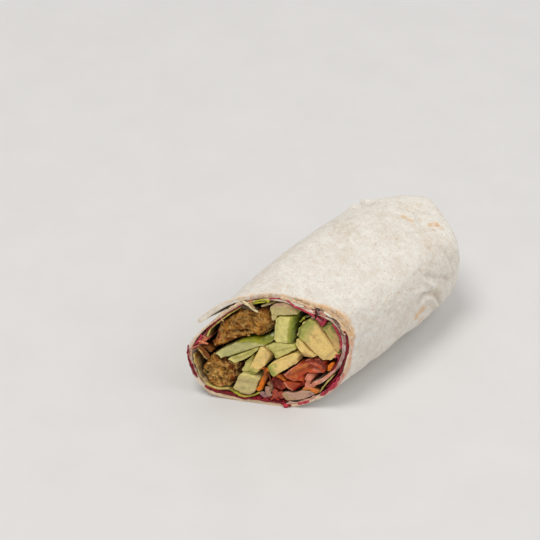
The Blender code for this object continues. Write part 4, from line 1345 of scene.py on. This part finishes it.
        (0.7, "leaf", 0.95, -11, 4.6, -9, 3.2, -7.2, 2.2, -4.6, 2.3, -2.4, 3.4, -0.4, 5.6),
        (0.5, "shadow_olive", 0.5, -12, 5.2, -10, 4.2),
    ),
    "lettuce_right": (
        (0.5, "leaf_pale", 0.4, 20, 8.4, 23.4, 16.4),
        (0.7, "shadow_olive", 0.7, 24, 16.4, 24.8, 17.6),
    ),
    "lettuce_curl": (
        (0.5, "beet_bright", 0.6, -24.8, 22, -23.6, 21, -21.6, 18.8),
        (0.9, "crumb_dark_and_shade", 0.85, -22.8, 21.4, -20.4, 19),
    ),
    "lettuce_fold": (
        (0.5, "shadow_olive", 0.6, -8.4, 44.4, -5, 45),
        (0.6, "leaf", 0.9, -8.8, 45.6, -6.4, 46.6, -4, 46.8),
    ),
    "lettuce_rib": (
        (0.6, "onion_cream", 0.45, -6.8, 43.2, -3.4, 44.8),
        (0.7, "dough_grey", 0.8, -4.4, 46, -1.4, 47.2),
        (0.5, "shadow_olive", 0.8, -6, 42.6, -2.6, 43.6),
    ),
    "lettuce_sprig": (
        (0.5, "cucumber_lime", 0.75, 8.6, 38.4, 9.4, 40.6),
        (0.6, "leaf_olive", 0.75, 10.2, 40.4, 11.8, 42.4),
    ),
    "beet_spread_left": (
        (0.8, "beet_bright", 0.85, -27.4, 21, -26.2, 24.4, -25.2, 27.8),
        (0.5, "beet", 0.75, -26, 23.6, -24.6, 26.2),
        (0.8, "onion_mauve", 0.75, -23.6, 27.6, -24, 29.4),
        (0.5, "carrot_pale", 0.8, -25, 25.8, -23.2, 25),
    ),
    "beet_spread_right": (
        (0.8, "beet_bright", 0.5, 24.8, 19, 26.2, 21),
        (0.7, "beet_bright", 0.65, 22.6, 9.6, 24.8, 13.6, 25.8, 17.6),
    ),
    "beet_spread_top": (
        (0.7, "onion_mauve", 0.6, 13.8, 41.4, 15.4, 40.6),
        (0.6, "beet", 0.6, 14.6, 39.6, 15.8, 38.4),
    ),
}
# Dents and slopes of the cut ends: radius, how far back they go in millimetres, path.
HOLLOWS = {
    "falafel_upper": (
        (1.6, 1.6, -1.4, 41, -0.8, 37, -1, 33.4, -3.8, 30),
        (0.7, 1.1, -13.8, 31.2, -11.2, 31.4, -8.6, 32.1),
        (1.2, 0.8, -20.4, 32, -19.8, 28),
        (1.2, 1.2, -18, 22.8, -13, 26.4, -9.6, 28.2),
    ),
    "falafel_lower": (
        (1.8, 1.5, -11.4, 16.6, -10, 12, -10.6, 7.4),
        (0.6, 0.9, -11.1, 12.4, -10.7, 11.2),
        (0.55, 0.6, -17.4, 10.4, -16, 8.8),
        (0.5, 0.6, -15.3, 14.2, -14.8, 13.2),
        (0.5, 0.5, -20.4, 14.2, -19.2, 13.4),
    ),
    "cucumber_left": (
        (1.2, 1.6, -12, 28.8, -5, 30, -1.4, 32.2, 0.4, 32.6),
    ),
    "cucumber_upright": (
        (1.8, 3.4, 7.8, 41.4, 8.2, 36, 8.6, 29.2),
    ),
    "cucumber_top": (
        (1.3, 0.9, 5.6, 45, 7.8, 42.6),
    ),
    "avocado_large": (
        (0.6, 0.6, 10.8, 30.4, 13.4, 27.6, 17, 24.4),
        (0.5, 0.2, 13, 34.2, 15, 32.6),
    ),
    "avocado_right": (
        (1.3, 0.9, 17.2, 38.6, 19, 39.9),
    ),
    "avocado_middle_left": (
        (1.2, 0.8, -6.2, 14, -3, 12.8),
    ),
    "tomato_large": (
        (0.9, 1.2, 14, 15.6, 17.6, 16.6),
        (1, 0.9, 12.6, 22.4, 18.4, 22.6),
        (0.5, 0.4, 14, 19.4, 17.6, 18.6),
    ),
    "tomato_wedge": (
        (1.3, 1, 13.4, 10.4, 11.4, 7.6),
    ),
    "tomato_lower": (
        (0.6, 0.9, 2.8, 10, 3, 6),
        (1.4, 1.4, 5, 12, 3, 12.2),
    ),
    "lettuce_left": (
        (0.4, 1.6, -22, 27.2, -21.4, 30.9, -18.5, 34.9, -15.6, 38.4, -12.4, 41.8),
    ),
    "carrot_long": (
        (0.8, 1, 0.6, 14.6, 0.8, 10.6),
    ),
}


def crumbly_relief(node, seed):
    """Torn crumb: lumps of three sizes, round pits and a rounded crust edge."""
    outline, _ = cut_outline(node)
    chance = np.random.default_rng(seed)
    pits = chance.uniform(outline.min(axis=0), outline.max(axis=0), (130, 2))
    width = chance.uniform(0.25, 0.70, len(pits))

    def relief(section, edge):
        at = at_cut(section)
        lumps = 0.50 * rough(at, 3.0, seed) + 0.50 * rough(at, 1.3, seed + 3)
        lumps = lumps + 0.18 * ripple(at, 0.6, seed + 7)
        gap = np.linalg.norm(section[:, None, :] - pits[None, :, :], axis=2) / width
        pitted = (0.9 * width * np.exp(-gap ** 2)).max(axis=1)
        rim = 0.5 * (1.0 - ease(edge, over=0.9)) ** 2
        return hollowed(section, HOLLOWS.get(node, ()), seed) - lumps + pitted + rim

    return relief


def sliced_relief(node, seed, lump=0.10, grain=0.04, rim=0.06, size=2.4):
    """A knife's cut: nearly flat, with slight waves and eased edges."""

    def relief(section, edge):
        at = at_cut(section)
        waves = lump * rough(at, size, seed, 2) + grain * ripple(at, 0.7, seed + 4)
        dents = hollowed(section, HOLLOWS.get(node, ()), seed)
        return dents - waves + rim * (1.0 - ease(edge, over=0.4)) ** 2

    return relief


def add_filling(node, food, seed, relief, spacing, cavity=0.10, gloom=(0.5, 6.0), **shape):
    """Replace one filling's solid with its fine piece.

    cavity is how much darker its dents are painted, as painted shade; gloom is how much darker its sides
    are painted the farther they run back behind the cut end, and over how many millimetres: painted shade of
    the gaps between the pieces, with some stain of the filling.
    """
    colour, wet, angle, size, strength = LOOKS[node]
    outline, back = cut_outline(node)
    body = filling_body(outline, back, spacing, relief, seed, **shape)
    tint = base_tint(body, colour, wet)
    tint = touched(tint, body, TOUCHES.get(node, ()), seed)
    tint = streaked(tint, body, angle, size, strength, seed + 8)
    # painted shade: dents of the cut end darker, raised parts lighter
    tint = shaded(tint, 1.0 - cavity * np.clip(body.sunk / 0.7, -1.0, 1.0))
    # painted shade of the sides that run back into the gaps between pieces, with some stain of the filling
    tint = shaded(tint, 1.0 - gloom[0] * ease(body.depth - back, 0.6, gloom[1]))
    piece = add_piece(node + "_piece", body.places, body.faces, tint, finish_of(food), (node,))


def nodes_of(*starts):
    """The fillings whose names start so, in a fixed order."""
    return sorted(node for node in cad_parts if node.startswith(starts))


def slice_foods(foods, first_seed, spacing, relief, **shape):
    """Replace every filling of these foods with one cut by a knife, each with its own roughness."""
    for seed, node in enumerate(nodes_of(*foods), first_seed):
        food = next(food for food in foods if node.startswith(food))
        add_filling(node, food, 10 * seed, sliced_relief(node, 10 * seed, **relief), spacing, **shape)


# ---------------------------------------------------------------- smears and bits

# Beet spread along the sheet at the cut: half width, how far it stands out, colour, path.
SMEARS = (
    (0.46, 0.22, "beet", 24.8, 37.2, 26, 34, 26.7, 29, 26.6, 24, 26, 20.2, 25.2, 17.4),
    (0.34, 0.2, "beet_bright", 19.6, 40.1, 22, 36.8, 23.9, 32.9, 24.5, 29.4),
    (0.34, 0.15, "beet", 24.4, 27, 24.3, 24, 23.6, 20.9, 22.6, 18.6),
    (0.38, 0.3, "beet_bright", 1.4, 48.7, 3.8, 47.3, 5.8, 45.6, 8, 44.8, 10.3, 43.8, 12.3, 43, 13.4,
     41.8),
    (0.36, 0.2, "beet", -24, 28.8, -21.2, 33.6, -18, 37.8, -14.9, 41.1, -11.9, 44.1),
    (0.46, 0.3, "beet", -29, 23, -28.6, 19.4, -27.8, 16.2, -26.6, 13.4, -25.3, 10.8, -23.8, 8.4),
    (0.7, 0.15, "beet_bright", 20.6, 7, 22.8, 9.8, 24.8, 13.2, 26, 16.8),
    (0.62, 0.45, "beet", -20.8, 5.3, -17.8, 3.7, -14.2, 3.2, -11, 2.9, -9, 2.3),
    (0.5, 0.45, "beet", -9.4, 1.9, -5.6, 1.7, -1.6, 1.9, 2.4, 1.8, 6, 1.7, 8.6, 1.6),
    (0.22, 0.15, "beet_dark", -11.2, 45.3, -8.6, 46.4, -6.4, 47),
    (0.28, 0.15, "beet_bright", -3.6, 47.6, -0.6, 48.3, 2, 48.2),
    (0.44, 0.35, "beet_bright", 13.8, 2.4, 15.2, 2.9, 17, 4),
    (0.28, 0.15, "beet_dark", 13.2, 44.9, 13.9, 43.2, 15.2, 41.9, 16.8, 41),
    (0.26, 0.45, "shred", -27.8, 21, -26.6, 22.4, -25, 23.2),
    (0.4, 0.45, "shred", -25.8, 25.6, -24.2, 24.8, -22, 24.4),
    (0.36, 0.25, "beet_bright", -26.8, 23.4, -25.4, 25.6, -24.8, 28.2),
)
# Torn dough folded in beside the cut edge: half width, how far it stands out, colour, path.
FOLDS = (
    (0.8, 0.1, "fold_cream", 3.8, 47.9, 6.2, 46.9, 9, 46),
    (0.5, 0, "rim_tan", 2, 48.6, 6, 48.2, 10, 47, 13.4, 46.2),
    (0.75, 0.15, "dough_pink", 8.8, 45.6, 11, 44.8, 13.2, 44.2),
    (0.4, 0.3, "fold_cream", 11, 44.9, 12.6, 44),
    (0.3, 0.1, "beet_dark", 12.8, 46.2, 14, 44.6, 15, 43.2),
    (0.75, 0.1, "dough_pink", 14.6, 45, 15.6, 43.8, 17, 42.8),
    (0.34, 0.2, "fold_cream", 16.2, 44.6, 17.6, 43.7, 19.2, 42.6),
    (0.75, 0, "rim_tan", 14.4, 46.2, 17, 45.2, 20, 43.6, 22.6, 41.4, 24.6, 38.4, 25.7, 35.4),
    (0.9, -0.05, "rim_tan", 16, 45.1, 18.8, 43.9, 21.5, 42, 23.6, 39.3, 25.2, 35.7),
    (0.5, 0, "rim_tan", 18, 45.6, 21.4, 43.6, 24.2, 40.8, 26, 37.4, 26.6, 34.6),
    (0.46, 0.12, "dough_toast", 16.2, 45.8, 19.4, 44.2, 22.3, 42, 24.3, 39.6, 25.5, 37.2),
    (0.5, 0, "rim_mauve", 20.6, 41.2, 22.6, 38.8, 24.2, 35.4),
    (0.46, 0.05, "rim_mauve", 24.7, 35.6, 25.6, 31, 25.8, 27, 25.3, 22.6, 24.2, 19.8),
    (0.6, -0.2, "rim_tan", -0.6, 48.9, 4, 48.3, 9, 46.8, 13, 45.6),
    (0.5, 0.05, "rim_brown", -11.4, 45.9, -8, 47.5, -4, 48.4, 0.6, 48.9),
    (0.5, -0.05, "dough_pink", 9.8, 2.2, 13, 2.5, 16.4, 4.4, 19.4, 6.9),
    (0.55, -0.3, "rim_tan", -21.4, 34.6, -18.7, 38.7, -15.8, 42, -12.6, 44.9),
)
# Thin strands that lie over the cut: half width, how far they stand out, colour, path.
STRANDS = (
    (0.42, 0.5, "onion_cream", -12.6, 45.4, -10.6, 44.2, -8.4, 42.6, -6.4, 41.2),
    (0.26, 0.45, "onion_tan", -9.8, 45.6, -8.8, 43.6, -7.4, 42.2),
    (0.26, 0.5, "leaf", -8.8, 45.2, -6.8, 46.6, -4.6, 47.2, -3.4, 46.4, -4, 45.6),
    (0.3, 0.2, "leaf", -8.4, 44.8, -6.6, 45.6, -4.8, 45.9),
    (0.18, 0.5, "onion_tan", -18.9, 36.6, -18, 35.4),
    (0.66, 0.4, "leaf_brown", -25.2, 22.6, -23.4, 21.2, -21.8, 19.2, -21, 17.7),
    (0.2, 0.55, "leaf_tan", -25.6, 22.3, -24, 20.6, -22.4, 18.6, -21.4, 17.4),
    (0.3, 0.55, "tomato_pale_and_glint", 14.2, 13.6, 14.9, 14.6, 15.6, 13.2),
    (1.05, 0.25, "tomato_soft", 4.2, 7.6, 4.6, 5.4, 5, 3.2),
    (0.95, 0.15, "tomato_soft", 6.2, 6.8, 6.8, 5, 7.4, 3.6),
    (0.42, 0.5, "tomato", 4.3, 4.2, 4, 3.4, 3.6, 2.6),
    (1.2, 0.15, "onion_soft", 1.4, 8.4, 1.8, 6.2, 2.8, 3.8),
    (0.8, 0.1, "onion_mauve", -0.4, 5.6, 0.4, 4.4, 1.8, 3.2),
    (0.72, 0.3, "tomato_pale_and_glint", 20, 14.2, 18.4, 12.4, 16.6, 11, 15, 10.8),
    (0.66, 0.1, "shred", 22.4, 15.6, 20.6, 12.8, 18.8, 11, 17.2, 10.2),
    (0.34, 0.5, "carrot", 16.6, 9.2, 18, 8.9, 19.2, 8),
    (0.36, 0.55, "carrot_deep", -0.6, 16.6, -1.8, 16.2, -2.6, 15.6),
    # a dark strand beside the carrot that stands for the shade of the gap: painted shade
    (0.26, 0.3, "crust_dark_and_shade", 0.8, 14.6, 1.8, 12.4, 2.2, 10.2),
)
# The foods that lose strands, and how the names of their strands' colours start.
STRAND_COLOURS = {
    "onion": ("onion",),
    "lettuce": ("leaf",),
    "tomato": ("tomato",),
    "carrot": ("carrot", "crust"),
}
# Small lumps at the cut: place (u, v), half width, half height, how far they stand out, colour, finish.
LUMPS = (
    (8, 1.5, 1.1, 0.8, 0.35, "beet", "beet_spread"),
    (9.3, 0.9, 0.9, 0.9, 0.7, "beet_bright", "beet_spread"),
    (10.4, 1, 0.8, 0.6, 0.5, "beet", "beet_spread"),
    (9.5, 0.1, 0.7, 0.6, 0.75, "beet", "beet_spread"),
    (14, 2.5, 0.8, 0.5, 0.45, "beet_bright", "beet_spread"),
    (23.5, 26.2, 0.5, 0.5, 0.25, "beet_bright", "beet_spread"),
    (24.1, 25.3, 0.4, 0.4, 0.25, "beet_bright", "beet_spread"),
    (23, 25, 0.35, 0.35, 0.2, "beet_bright", "beet_spread"),
    (24.5, 37, 0.4, 0.6, 0.25, "beet", "beet_spread"),
    (6, 3.1, 0.5, 0.4, 0.35, "tomato_deep", "tomato"),
    (13.9, 12.3, 0.35, 0.5, 0.3, "tomato_deep", "tomato"),
    (8.7, 39.3, 0.4, 0.3, 0.25, "cucumber_lime", "onion"),
    (9.7, 41, 0.4, 0.6, 0.35, "cucumber_lime", "onion"),
    (12.7, 41.8, 0.7, 0.5, 0.3, "onion_mauve", "onion"),
    (-9.7, 45.7, 0.5, 0.4, 0.4, "carrot_pale", "onion"),
    (-8.4, 30.4, 0.55, 0.4, 0.3, "crumb_light", "falafel"),
    (-13, 29, 0.6, 0.45, 0.4, "crumb_light", "falafel"),
    (-16.4, 29.4, 0.7, 0.5, 0.35, "crumb", "falafel"),
    (-12.2, 40, 0.5, 0.4, 0.35, "crumb_light", "falafel"),
    (-20.6, 15.6, 0.6, 0.5, 0.35, "crumb_light", "falafel"),
    (-18.2, 14.9, 0.6, 0.4, 0.35, "crumb", "falafel"),
    (-17.4, 12, 0.5, 0.6, 0.35, "crumb_light", "falafel"),
    (-13.2, 10.4, 0.5, 0.5, 0.3, "crust", "falafel"),
    (-12.4, 13.6, 0.5, 0.4, 0.3, "crust", "falafel"),
    (-19, 8.8, 0.5, 0.4, 0.3, "crumb_light", "falafel"),
    (-7, 38.6, 0.5, 0.4, 0.3, "crumb_light", "falafel"),
    (-10.2, 35.4, 0.45, 0.4, 0.3, "crumb_light", "falafel"),
    (-4.6, 35.8, 0.5, 0.4, 0.3, "crumb", "falafel"),
)
LUMP_WETNESS = {"beet_spread": 0.8, "tomato": 0.8, "onion": 0.8, "falafel": 0.3}
ROUND = 12                     # points round a smear, strand or lump
ROUND_ANGLES = 2.0 * math.pi * np.arange(ROUND) / ROUND
LUMP_ROWS = 9
FOLD_SEED = 860
STRAND_SEED = 820
SMEAR_SEED = 900
LUMP_SEED = 950


def strand_body(path, width, proud, seed, uneven=0.35):
    """A rough cord of paste or shredded salad along a path on the cut face."""
    line = even_steps(smooth_line(np.reshape(path, (-1, 2)), 12), 0.22, closed=False)
    count = len(line)
    at = at_cut(line)
    line = line + sides_of(line, closed=False) * (0.25 * uneven * rough(at, 1.6, seed))[:, None]
    side = sides_of(line, closed=False)
    taper = np.sqrt(np.clip(np.sin(math.pi * (np.arange(count) + 0.35) / (count - 0.3)), 0.0, 1.0))
    taper = np.minimum(1.0, 1.6 * taper)
    rows = []
    for k in range(count):
        around = np.c_[np.tile(line[k], (ROUND, 1)), 0.8 * np.sin(ROUND_ANGLES)]
        noise = 1.0 + uneven * ripple(around, 0.75, seed + 1)
        swell = 1.0 + uneven * ripple(at[k:k + 1], 1.9, seed + 2)[0]
        reach = width * taper[k] * swell * noise
        spots = line[k] + side[k] * (reach * np.cos(ROUND_ANGLES))[:, None]
        behind = -(proud * taper[k] * noise) * np.maximum(np.sin(ROUND_ANGLES), -0.9)
        rows.append((carry(spots[:, 0], spots[:, 1], 0.0, behind), spots, behind, 0.0))
    return Body(rows, closed_faces(count, ROUND))


def lump_body(middle, sizes, proud, seed):
    """A rough little lump on the cut face."""
    rows = []
    for k in range(LUMP_ROWS):
        polar = math.pi * (k + 0.4) / (LUMP_ROWS - 0.2)
        ball = np.stack((math.sin(polar) * np.cos(ROUND_ANGLES), math.sin(polar) * np.sin(ROUND_ANGLES),
                         np.full(ROUND, math.cos(polar))), axis=1)
        ball *= (1.0 + 0.38 * ripple(ball + np.array((*middle, 0.0)), 0.8, seed))[:, None]
        spots = np.array(middle) + ball[:, :2] * np.array(sizes)
        behind = -proud - 0.7 * min(sizes) * ball[:, 2] + 0.3
        rows.append((carry(spots[:, 0], spots[:, 1], 0.0, behind), spots, behind, 0.0))
    return Body(rows, closed_faces(LUMP_ROWS, ROUND))


def add_bits(name, food, made, wet):
    """One piece from many small bodies, each with its own colour."""
    faces = []
    tints = []
    first = 0
    for k, (body, colour) in enumerate(made):
        patches = ripple(np.c_[body.section, 3.0 * body.depth], 0.9, k)
        # random patches of tone, and painted shade: lighter where a bit stands out of the cut, darker where
        # it lies back
        shade = 1.0 + 0.28 * patches - 0.15 * np.clip(body.depth / 0.5, -1.0, 1.0)
        tints.append(shaded(base_tint(body, colour, wet), shade))
        faces += [tuple(first + i for i in face) for face in body.faces]
        first += len(body.places)
    places = np.vstack([body.places for body, _ in made])
    piece = add_piece(name, places, faces, np.vstack(tints), finish_of(food))


def add_strands(name, food, rows, first_seed, uneven, wet, colours=("",)):
    """One piece from a table's strands, or from those whose colour's name starts so."""
    made = [(strand_body(path, width, proud, first_seed + k, uneven), colour)
            for k, (width, proud, colour, *path) in enumerate(rows) if colour.startswith(colours)]
    add_bits(name, food, made, wet)


# ---------------------------------------------------------------- operators


class WRAP_OT_tortilla(bpy.types.Operator):
    """Roll the tortilla round the filling and fold its far end shut"""

    bl_idname = "wrap.tortilla"
    bl_label = "Tortilla"

    def execute(self, context):
        body, outside = make_wall()
        wall = add_piece("tortilla_sheet", body.places, body.faces, paint_wall(body, outside),
                         finish_of("tortilla"), ("tortilla",))
        end = make_folded_end()
        tint = paint_outside(base_tint(end, "dough", 0.15), in_roll(end.places))
        fold = add_piece("tortilla_folded_end", end.places, end.faces, tint, finish_of("tortilla"))
        add_strands("tortilla_torn_folds", "tortilla", FOLDS, FOLD_SEED, uneven=0.5, wet=0.3)
        return {"FINISHED"}


class WRAP_OT_falafel(bpy.types.Operator):
    """Break the falafel open at the cut"""

    bl_idname = "wrap.falafel"
    bl_label = "Falafel"

    def execute(self, context):
        for seed, node in zip((100, 110), nodes_of("falafel")):
            add_filling(node, "falafel", seed, crumbly_relief(node, seed), spacing=0.25, cavity=0.45,
                        gloom=(0.7, 4.0), grow=0.06, jag=0.34, bevel=0.15, side=0.3, crisp=0.6)
        return {"FINISHED"}


class WRAP_OT_cucumber(bpy.types.Operator):
    """Slice the cucumber"""

    bl_idname = "wrap.cucumber"
    bl_label = "Cucumber"

    def execute(self, context):
        slice_foods(("cucumber",), first_seed=20, spacing=0.32, relief={"lump": 0.12, "grain": 0.06},
                    cavity=0.25, gloom=(0.66, 5.0), grow=0.20, jag=0.08, bevel=0.06, crisp=1.5)
        return {"FINISHED"}


class WRAP_OT_avocado(bpy.types.Operator):
    """Slice the avocado"""

    bl_idname = "wrap.avocado"
    bl_label = "Avocado"

    def execute(self, context):
        slice_foods(("avocado",), first_seed=30, spacing=0.32, relief={"lump": 0.20, "grain": 0.06},
                    cavity=0.20, grow=0.22, jag=0.14, bevel=0.07, crisp=1.3)
        return {"FINISHED"}


class WRAP_OT_tomato(bpy.types.Operator):
    """Slice the tomato"""

    bl_idname = "wrap.tomato"
    bl_label = "Tomato"

    def execute(self, context):
        relief = {"lump": 0.40, "grain": 0.10, "rim": 0.15, "size": 1.9}
        slice_foods(("tomato",), first_seed=40, spacing=0.28, relief=relief,
                    cavity=0.30, gloom=(0.75, 4.0), grow=0.20, jag=0.22, bevel=0.09, crisp=1.0)
        return {"FINISHED"}


class WRAP_OT_onion_and_carrot(bpy.types.Operator):
    """Cut the onion and grate the carrot"""

    bl_idname = "wrap.onion_and_carrot"
    bl_label = "Onion and Carrot"

    def execute(self, context):
        slice_foods(("onion", "carrot"), first_seed=50, spacing=0.26, relief={"lump": 0.25, "grain": 0.08},
                    cavity=0.22, gloom=(0.92, 1.4), grow=0.12, jag=0.16, bevel=0.07, crisp=1.0)
        for food, colours in STRAND_COLOURS.items():
            add_strands(food + "_strands", food, STRANDS, STRAND_SEED, uneven=0.35, wet=0.6, colours=colours)
        return {"FINISHED"}


class WRAP_OT_lettuce(bpy.types.Operator):
    """Tuck in the lettuce leaves"""

    bl_idname = "wrap.lettuce"
    bl_label = "Lettuce"

    def execute(self, context):
        relief = {"lump": 0.55, "grain": 0.10, "rim": 0.1, "size": 3.2}
        slice_foods(("lettuce",), first_seed=60, spacing=0.25, relief=relief,
                    cavity=0.16, gloom=(0.85, 2.5), grow=0.04, jag=0.16, bevel=0.07, side=0.1)
        return {"FINISHED"}


class WRAP_OT_beet_spread(bpy.types.Operator):
    """Spread the beet paste between the sheet and the salad"""

    bl_idname = "wrap.beet_spread"
    bl_label = "Beet Spread"

    def execute(self, context):
        relief = {"lump": 0.65, "grain": 0.18, "rim": 0.2, "size": 1.3}
        slice_foods(("beet_spread",), first_seed=70, spacing=0.24, relief=relief,
                    cavity=0.30, grow=0.22, jag=0.34, bevel=0.1, side=0.25)
        add_strands("beet_spread_smears", "beet_spread", SMEARS, SMEAR_SEED, uneven=0.5, wet=0.8)
        return {"FINISHED"}


class WRAP_OT_bits(bpy.types.Operator):
    """Drop the small lumps of filling on the cut face"""

    bl_idname = "wrap.bits"
    bl_label = "Small Bits"

    def execute(self, context):
        for food, wet in LUMP_WETNESS.items():
            made = [(lump_body((u, v), (wide, high), proud, LUMP_SEED + k), colour)
                    for k, (u, v, wide, high, proud, colour, kind) in enumerate(LUMPS) if kind == food]
            add_bits(food + "_bits", food, made, wet)
        return {"FINISHED"}


class WRAP_OT_stage(bpy.types.Operator):
    """Set the table, the soft light and the camera"""

    bl_idname = "wrap.stage"
    bl_label = "Stage"

    def execute(self, context):
        sizes = context.scene.wrap_stage
        add_table(sizes)
        add_light(context.scene, sizes)
        add_camera(context.scene, sizes)
        return {"FINISHED"}


TABLE_HALF = 3.0               # metres
LAMP_DISTANCE = 1.6            # metres


def add_table(sizes):
    """A wide plain table top just under the wrap."""
    corners = [(x * TABLE_HALF, y * TABLE_HALF, 0.0) for x, y in ((-1, -1), (1, -1), (1, 1), (-1, 1))]
    mesh = bpy.data.meshes.new("table_top")
    mesh.from_pydata(corners, [], [(0, 1, 2, 3)])
    made = bpy.data.materials.new("table")
    made.use_nodes = True
    tree = made.node_tree
    shader = tree.nodes["Principled BSDF"]
    shader.inputs["Roughness"].default_value = 0.7
    colour = varied(tree, (*sizes.table_colour, 1.0), 30.0, 0.985, 1.015)
    tree.links.new(colour, shader.inputs["Base Color"])
    mesh.materials.append(made)
    table = bpy.data.objects.new("table_top", mesh)
    bpy.context.scene.collection.objects.link(table)


def add_lamp(scene, name, size, power, place, colour=(1.0, 1.0, 1.0)):
    """A round soft light that shines on the wrap from a direction."""
    light = bpy.data.lights.new(name, "AREA")
    light.shape = "DISK"
    light.size = size
    light.energy = power
    light.color = colour
    lamp = bpy.data.objects.new(name, light)
    scene.collection.objects.link(lamp)
    towards = Vector(place).normalized()
    lamp.location = towards * LAMP_DISTANCE
    lamp.rotation_euler = towards.to_track_quat("Z", "Y").to_euler()


def add_light(scene, sizes):
    """A pale sky all round, one large soft window and a pale panel that fills the shadows."""
    world = bpy.data.worlds.new("soft sky")
    scene.world = world
    world.use_nodes = True
    sky = world.node_tree.nodes["Background"]
    sky.inputs["Color"].default_value = (1.0, 0.985, 0.965, 1.0)
    sky.inputs["Strength"].default_value = sizes.sky_strength
    add_lamp(scene, "window", sizes.window_size, sizes.window_power, sizes.window_place, (1.0, 0.98, 0.95))
    add_lamp(scene, "fill", sizes.fill_size, sizes.fill_power, sizes.fill_place)
    scene.view_settings.view_transform = "Standard"


def add_camera(scene, sizes):
    """A long lens looking down on the cut face and along the roll."""
    azimuth = sizes.camera_azimuth
    elevation = sizes.camera_elevation
    back = Vector((math.sin(azimuth) * math.cos(elevation), -math.cos(azimuth) * math.cos(elevation),
                   math.sin(elevation)))
    turn = back.to_track_quat("Z", "Y")
    cut_middle = Vector((*CUT_MIDDLE, CUT_MIDDLE_HEIGHT)) * MM
    camera = bpy.data.objects.new("camera", bpy.data.cameras.new("camera"))
    camera.data.sensor_width = 36.0
    camera.data.lens = sizes.camera_lens
    up = turn @ Vector((0.0, 1.0, 0.0))
    camera.location = cut_middle + up * sizes.camera_rise + back * sizes.camera_distance
    camera.rotation_euler = turn.to_euler()
    scene.collection.objects.link(camera)
    scene.camera = camera


class WrapStage(bpy.types.PropertyGroup):
    """Light, table and camera of the picture."""

    sky_strength: FloatProperty(
        name="Sky", description="Strength of the pale light from all round", default=0.51, min=0.0)
    window_power: FloatProperty(
        name="Window", description="Power of the soft window light", default=9.9, min=0.0, unit="POWER")
    window_size: FloatProperty(
        name="Window Size", description="Width of the window", default=0.7, min=0.01, unit="LENGTH")
    window_place: FloatVectorProperty(
        name="Window Place", description="Direction that the window light comes from",
        default=(-0.10, -0.26, 1.0), subtype="DIRECTION")
    fill_power: FloatProperty(
        name="Fill", description="Power of the pale panel on the other side", default=6.2, min=0.0,
        unit="POWER")
    fill_size: FloatProperty(
        name="Fill Size", description="Width of the pale panel", default=1.4, min=0.01, unit="LENGTH")
    fill_place: FloatVectorProperty(
        name="Fill Place", description="Direction that the panel's light comes from",
        default=(0.75, 0.50, 0.90), subtype="DIRECTION")
    table_colour: FloatVectorProperty(
        name="Table", description="Colour of the table top", default=(0.736, 0.729, 0.724), min=0.0, max=1.0,
        subtype="COLOR")
    camera_azimuth: FloatProperty(
        name="Azimuth", description="Turn of the camera round the wrap", default=math.radians(39.0),
        subtype="ANGLE")
    camera_elevation: FloatProperty(
        name="Elevation", description="Height of the camera above the table, as an angle",
        default=math.radians(40.0), subtype="ANGLE")
    camera_distance: FloatProperty(
        name="Distance", description="From the middle of the cut face to the camera", default=0.8,
        unit="LENGTH")
    camera_rise: FloatProperty(
        name="Rise", description="How far the picture's middle lies above the cut face's", default=0.032,
        unit="LENGTH")
    camera_lens: FloatProperty(
        name="Lens", description="Focal length", default=133.33, unit="CAMERA")


class WRAP_PT_panel(bpy.types.Panel):
    """Lists the wrap's pieces and settings"""

    bl_idname = "WRAP_PT_panel"
    bl_label = "Falafel Wrap"
    bl_space_type = "VIEW_3D"
    bl_region_type = "UI"
    bl_category = "Wrap"

    def draw(self, context):
        for operator in OPERATORS:
            self.layout.operator(operator.bl_idname)
        for name in WrapStage.__annotations__:
            self.layout.prop(context.scene.wrap_stage, name)


OPERATORS = (
    WRAP_OT_tortilla,
    WRAP_OT_falafel,
    WRAP_OT_cucumber,
    WRAP_OT_avocado,
    WRAP_OT_tomato,
    WRAP_OT_onion_and_carrot,
    WRAP_OT_lettuce,
    WRAP_OT_beet_spread,
    WRAP_OT_bits,
    WRAP_OT_stage,
)
CLASSES = (WrapStage, *OPERATORS, WRAP_PT_panel)


def register():
    """Make the operators, the panel and the stage settings known."""
    for one in CLASSES:
        bpy.utils.register_class(one)
    bpy.types.Scene.wrap_stage = PointerProperty(type=WrapStage)


def unregister():
    """Take them away again."""
    del bpy.types.Scene.wrap_stage
    for one in reversed(CLASSES):
        bpy.utils.unregister_class(one)


def main():
    """Build every piece in order, set the stage and keep the sizes."""
    register()
    for operator in OPERATORS:
        group, name = operator.bl_idname.split(".")
        getattr(getattr(bpy.ops, group), name)()


if __name__ == "__main__":
    main()
